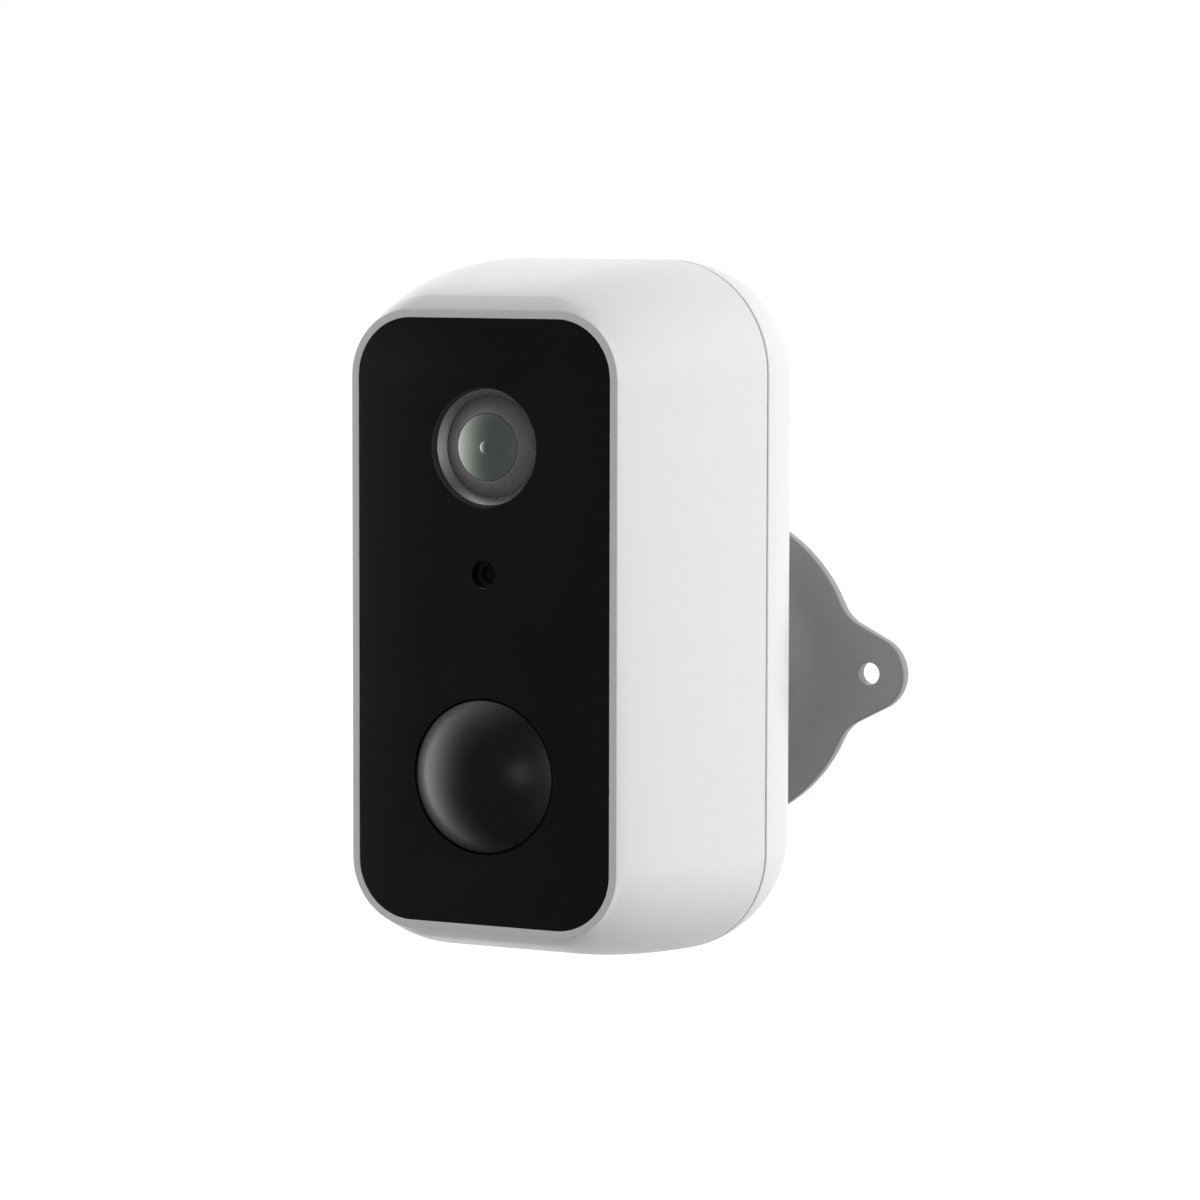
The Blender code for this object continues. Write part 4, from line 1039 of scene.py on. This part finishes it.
# Soft patches of the studio dome: azimuth, elevation, sharpness, strength.
FILL_PATCHES = [
    (135, 0, 5, 3.6),
    (60, 45, 5, 0.45),
    (0, 0, 5, 0.28),
    (-90, 0, 5, 1.8),
    (-60, 45, 5, 0.9),
    (-120, 45, 5, 0.7),
    (0, 90, 5, 0.85),
    (-55, -50, 5, 1.3),
]
MIRROR_PATCHES = [
    (180, 0, 1.2, 1.0),
    (-112, 0, 3, 1.4),
    (-82, 0, 9, 1.5),
    (-110, 50, 4, 1.5),
    (-100, -30, 8, 1.0),
    (100, 0, 3, 0.7),
    (-45, 0, 40, 0.08),
    (10, 0, 10, 0.03),
    (33, 3, 60, 1.2),
]
FILL_BASE, MIRROR_BASE = 0.0, 0.12


def dome_patches(tree, patches, base):
    """Background shader whose light is a base plus soft patches round the given directions."""
    towards = tree.nodes.new("ShaderNodeTexCoord").outputs["Generated"]
    background = tree.nodes.new("ShaderNodeBackground")
    total = None
    for azimuth, elevation, sharpness, strength in patches:
        facing = tree.nodes.new("ShaderNodeVectorMath")
        facing.operation = "DOT_PRODUCT"
        facing.inputs[1].default_value = direction_from(azimuth, elevation)
        tree.links.new(towards, facing.inputs[0])
        source = facing.outputs["Value"]
        for operation, value in (("MAXIMUM", 0.0), ("POWER", sharpness), ("MULTIPLY_ADD", strength)):
            step = tree.nodes.new("ShaderNodeMath")
            step.operation = operation
            step.inputs[1].default_value = value
            tree.links.new(source, step.inputs[0])
            source = step.outputs[0]
        if total is None:
            step.inputs[2].default_value = base
        else:
            tree.links.new(total, step.inputs[2])
        total = source
    tree.links.new(total, background.inputs["Strength"])
    return background.outputs[0]


def studio_dome():
    """Soft light from all round, calmer in reflections, with a plain white backdrop."""
    world = bpy.data.worlds.new("studio")
    bpy.context.scene.world = world
    world.cycles.sampling_method = "NONE"
    world.use_nodes = True
    tree = world.node_tree
    tree.nodes.clear()
    rays = tree.nodes.new("ShaderNodeLightPath")
    backdrop = tree.nodes.new("ShaderNodeBackground")
    shader = dome_patches(tree, FILL_PATCHES, FILL_BASE)
    for ray, choice in (("Is Glossy Ray", dome_patches(tree, MIRROR_PATCHES, MIRROR_BASE)),
                        ("Is Camera Ray", backdrop.outputs[0])):
        pick = tree.nodes.new("ShaderNodeMixShader")
        tree.links.new(rays.outputs[ray], pick.inputs["Fac"])
        tree.links.new(shader, pick.inputs[1])
        tree.links.new(choice, pick.inputs[2])
        shader = pick.outputs[0]
    backdrop.inputs["Color"].default_value = (1.0, 1.0, 1.0, 1.0)
    output = tree.nodes.new("ShaderNodeOutputWorld")
    tree.links.new(shader, output.inputs["Surface"])


def side_card():
    """Square soft light at the side of the bracket, which models its bell."""
    distance, size, strength = 0.6, 0.35, 1.35
    light = bpy.data.lights.new("side_card", "AREA")
    light.shape = "RECTANGLE"
    light.size = light.size_y = size
    light.energy = strength
    obj = bpy.data.objects.new("side_card", light)
    bpy.context.scene.collection.objects.link(obj)
    towards = direction_from(azimuth=91, elevation=10)
    obj.location = middle("front_housing") + towards * distance
    obj.rotation_mode = "QUATERNION"
    obj.rotation_quaternion = (-towards).to_track_quat("-Z", "Y")


def pale_floor():
    """Plain pale floor below the hanging camera."""
    drop, reach = 0.045, 30.0
    height = cad_low.z - drop
    bm = bmesh.new()
    corners = [(-reach, -reach), (reach, -reach), (reach, reach), (-reach, reach)]
    bm.faces.new([bm.verts.new((x, y, height)) for x, y in corners])
    floor = shape_object("floor", bm)
    look = Look("pale_floor", (0.93, 0.93, 0.93), 0.8)
    look.tint(look.noise(400.0, 2.0), (0.95, 0.95, 0.95))
    look.set("Emission Color", (1.0, 1.0, 1.0, 1.0))
    look.set("Emission Strength", 0.5)
    floor.data.materials.append(look.material)
    floor.visible_glossy = False
    floor.visible_diffuse = False


def photo_camera():
    """Camera at the photograph's angle: right of the lens axis and slightly above."""
    azimuth, elevation, roll, distance, focal_length = 27.287, 4.834, 0.12, 0.6479, 139.91
    aim_x, aim_depth, aim_up = 18.61, 0.0, 4.0
    aim = place(aim_x, aim_depth, aim_up)
    lens = bpy.data.cameras.new("camera")
    lens.sensor_width = 36.0
    lens.lens = focal_length
    lens.clip_start, lens.clip_end = 0.01, 100.0
    obj = bpy.data.objects.new("camera", lens)
    bpy.context.scene.collection.objects.link(obj)
    towards = direction_from(azimuth, elevation)
    obj.location = aim + towards * distance
    obj.rotation_mode = "QUATERNION"
    level = (-towards).to_track_quat("-Z", "Y")
    obj.rotation_quaternion = level @ Matrix.Rotation(math.radians(roll), 3, "Z").to_quaternion()
    bpy.context.scene.camera = obj


# ---- build -----------------------------------------------------------------------
def build():
    """Make every fine piece, dress the CAD pieces that stay, and light the scene."""
    photo_camera()
    front_housing()
    rear_cover()
    seal_ring()
    front_panel()
    lens_group()
    microphone_gasket()
    motion_dome()
    case_screws()
    rear_buttons()
    port_flap()
    wall_plate()
    ball_joint()
    mount_insert()
    for node, obj in frame["nodes"].items():
        obj.data.materials.clear()
        obj.data.materials.append(FINISHES[SLOT_OF[node]])
    studio_dome()
    side_card()
    pale_floor()
    bpy.context.scene.view_settings.view_transform = "Standard"


build()
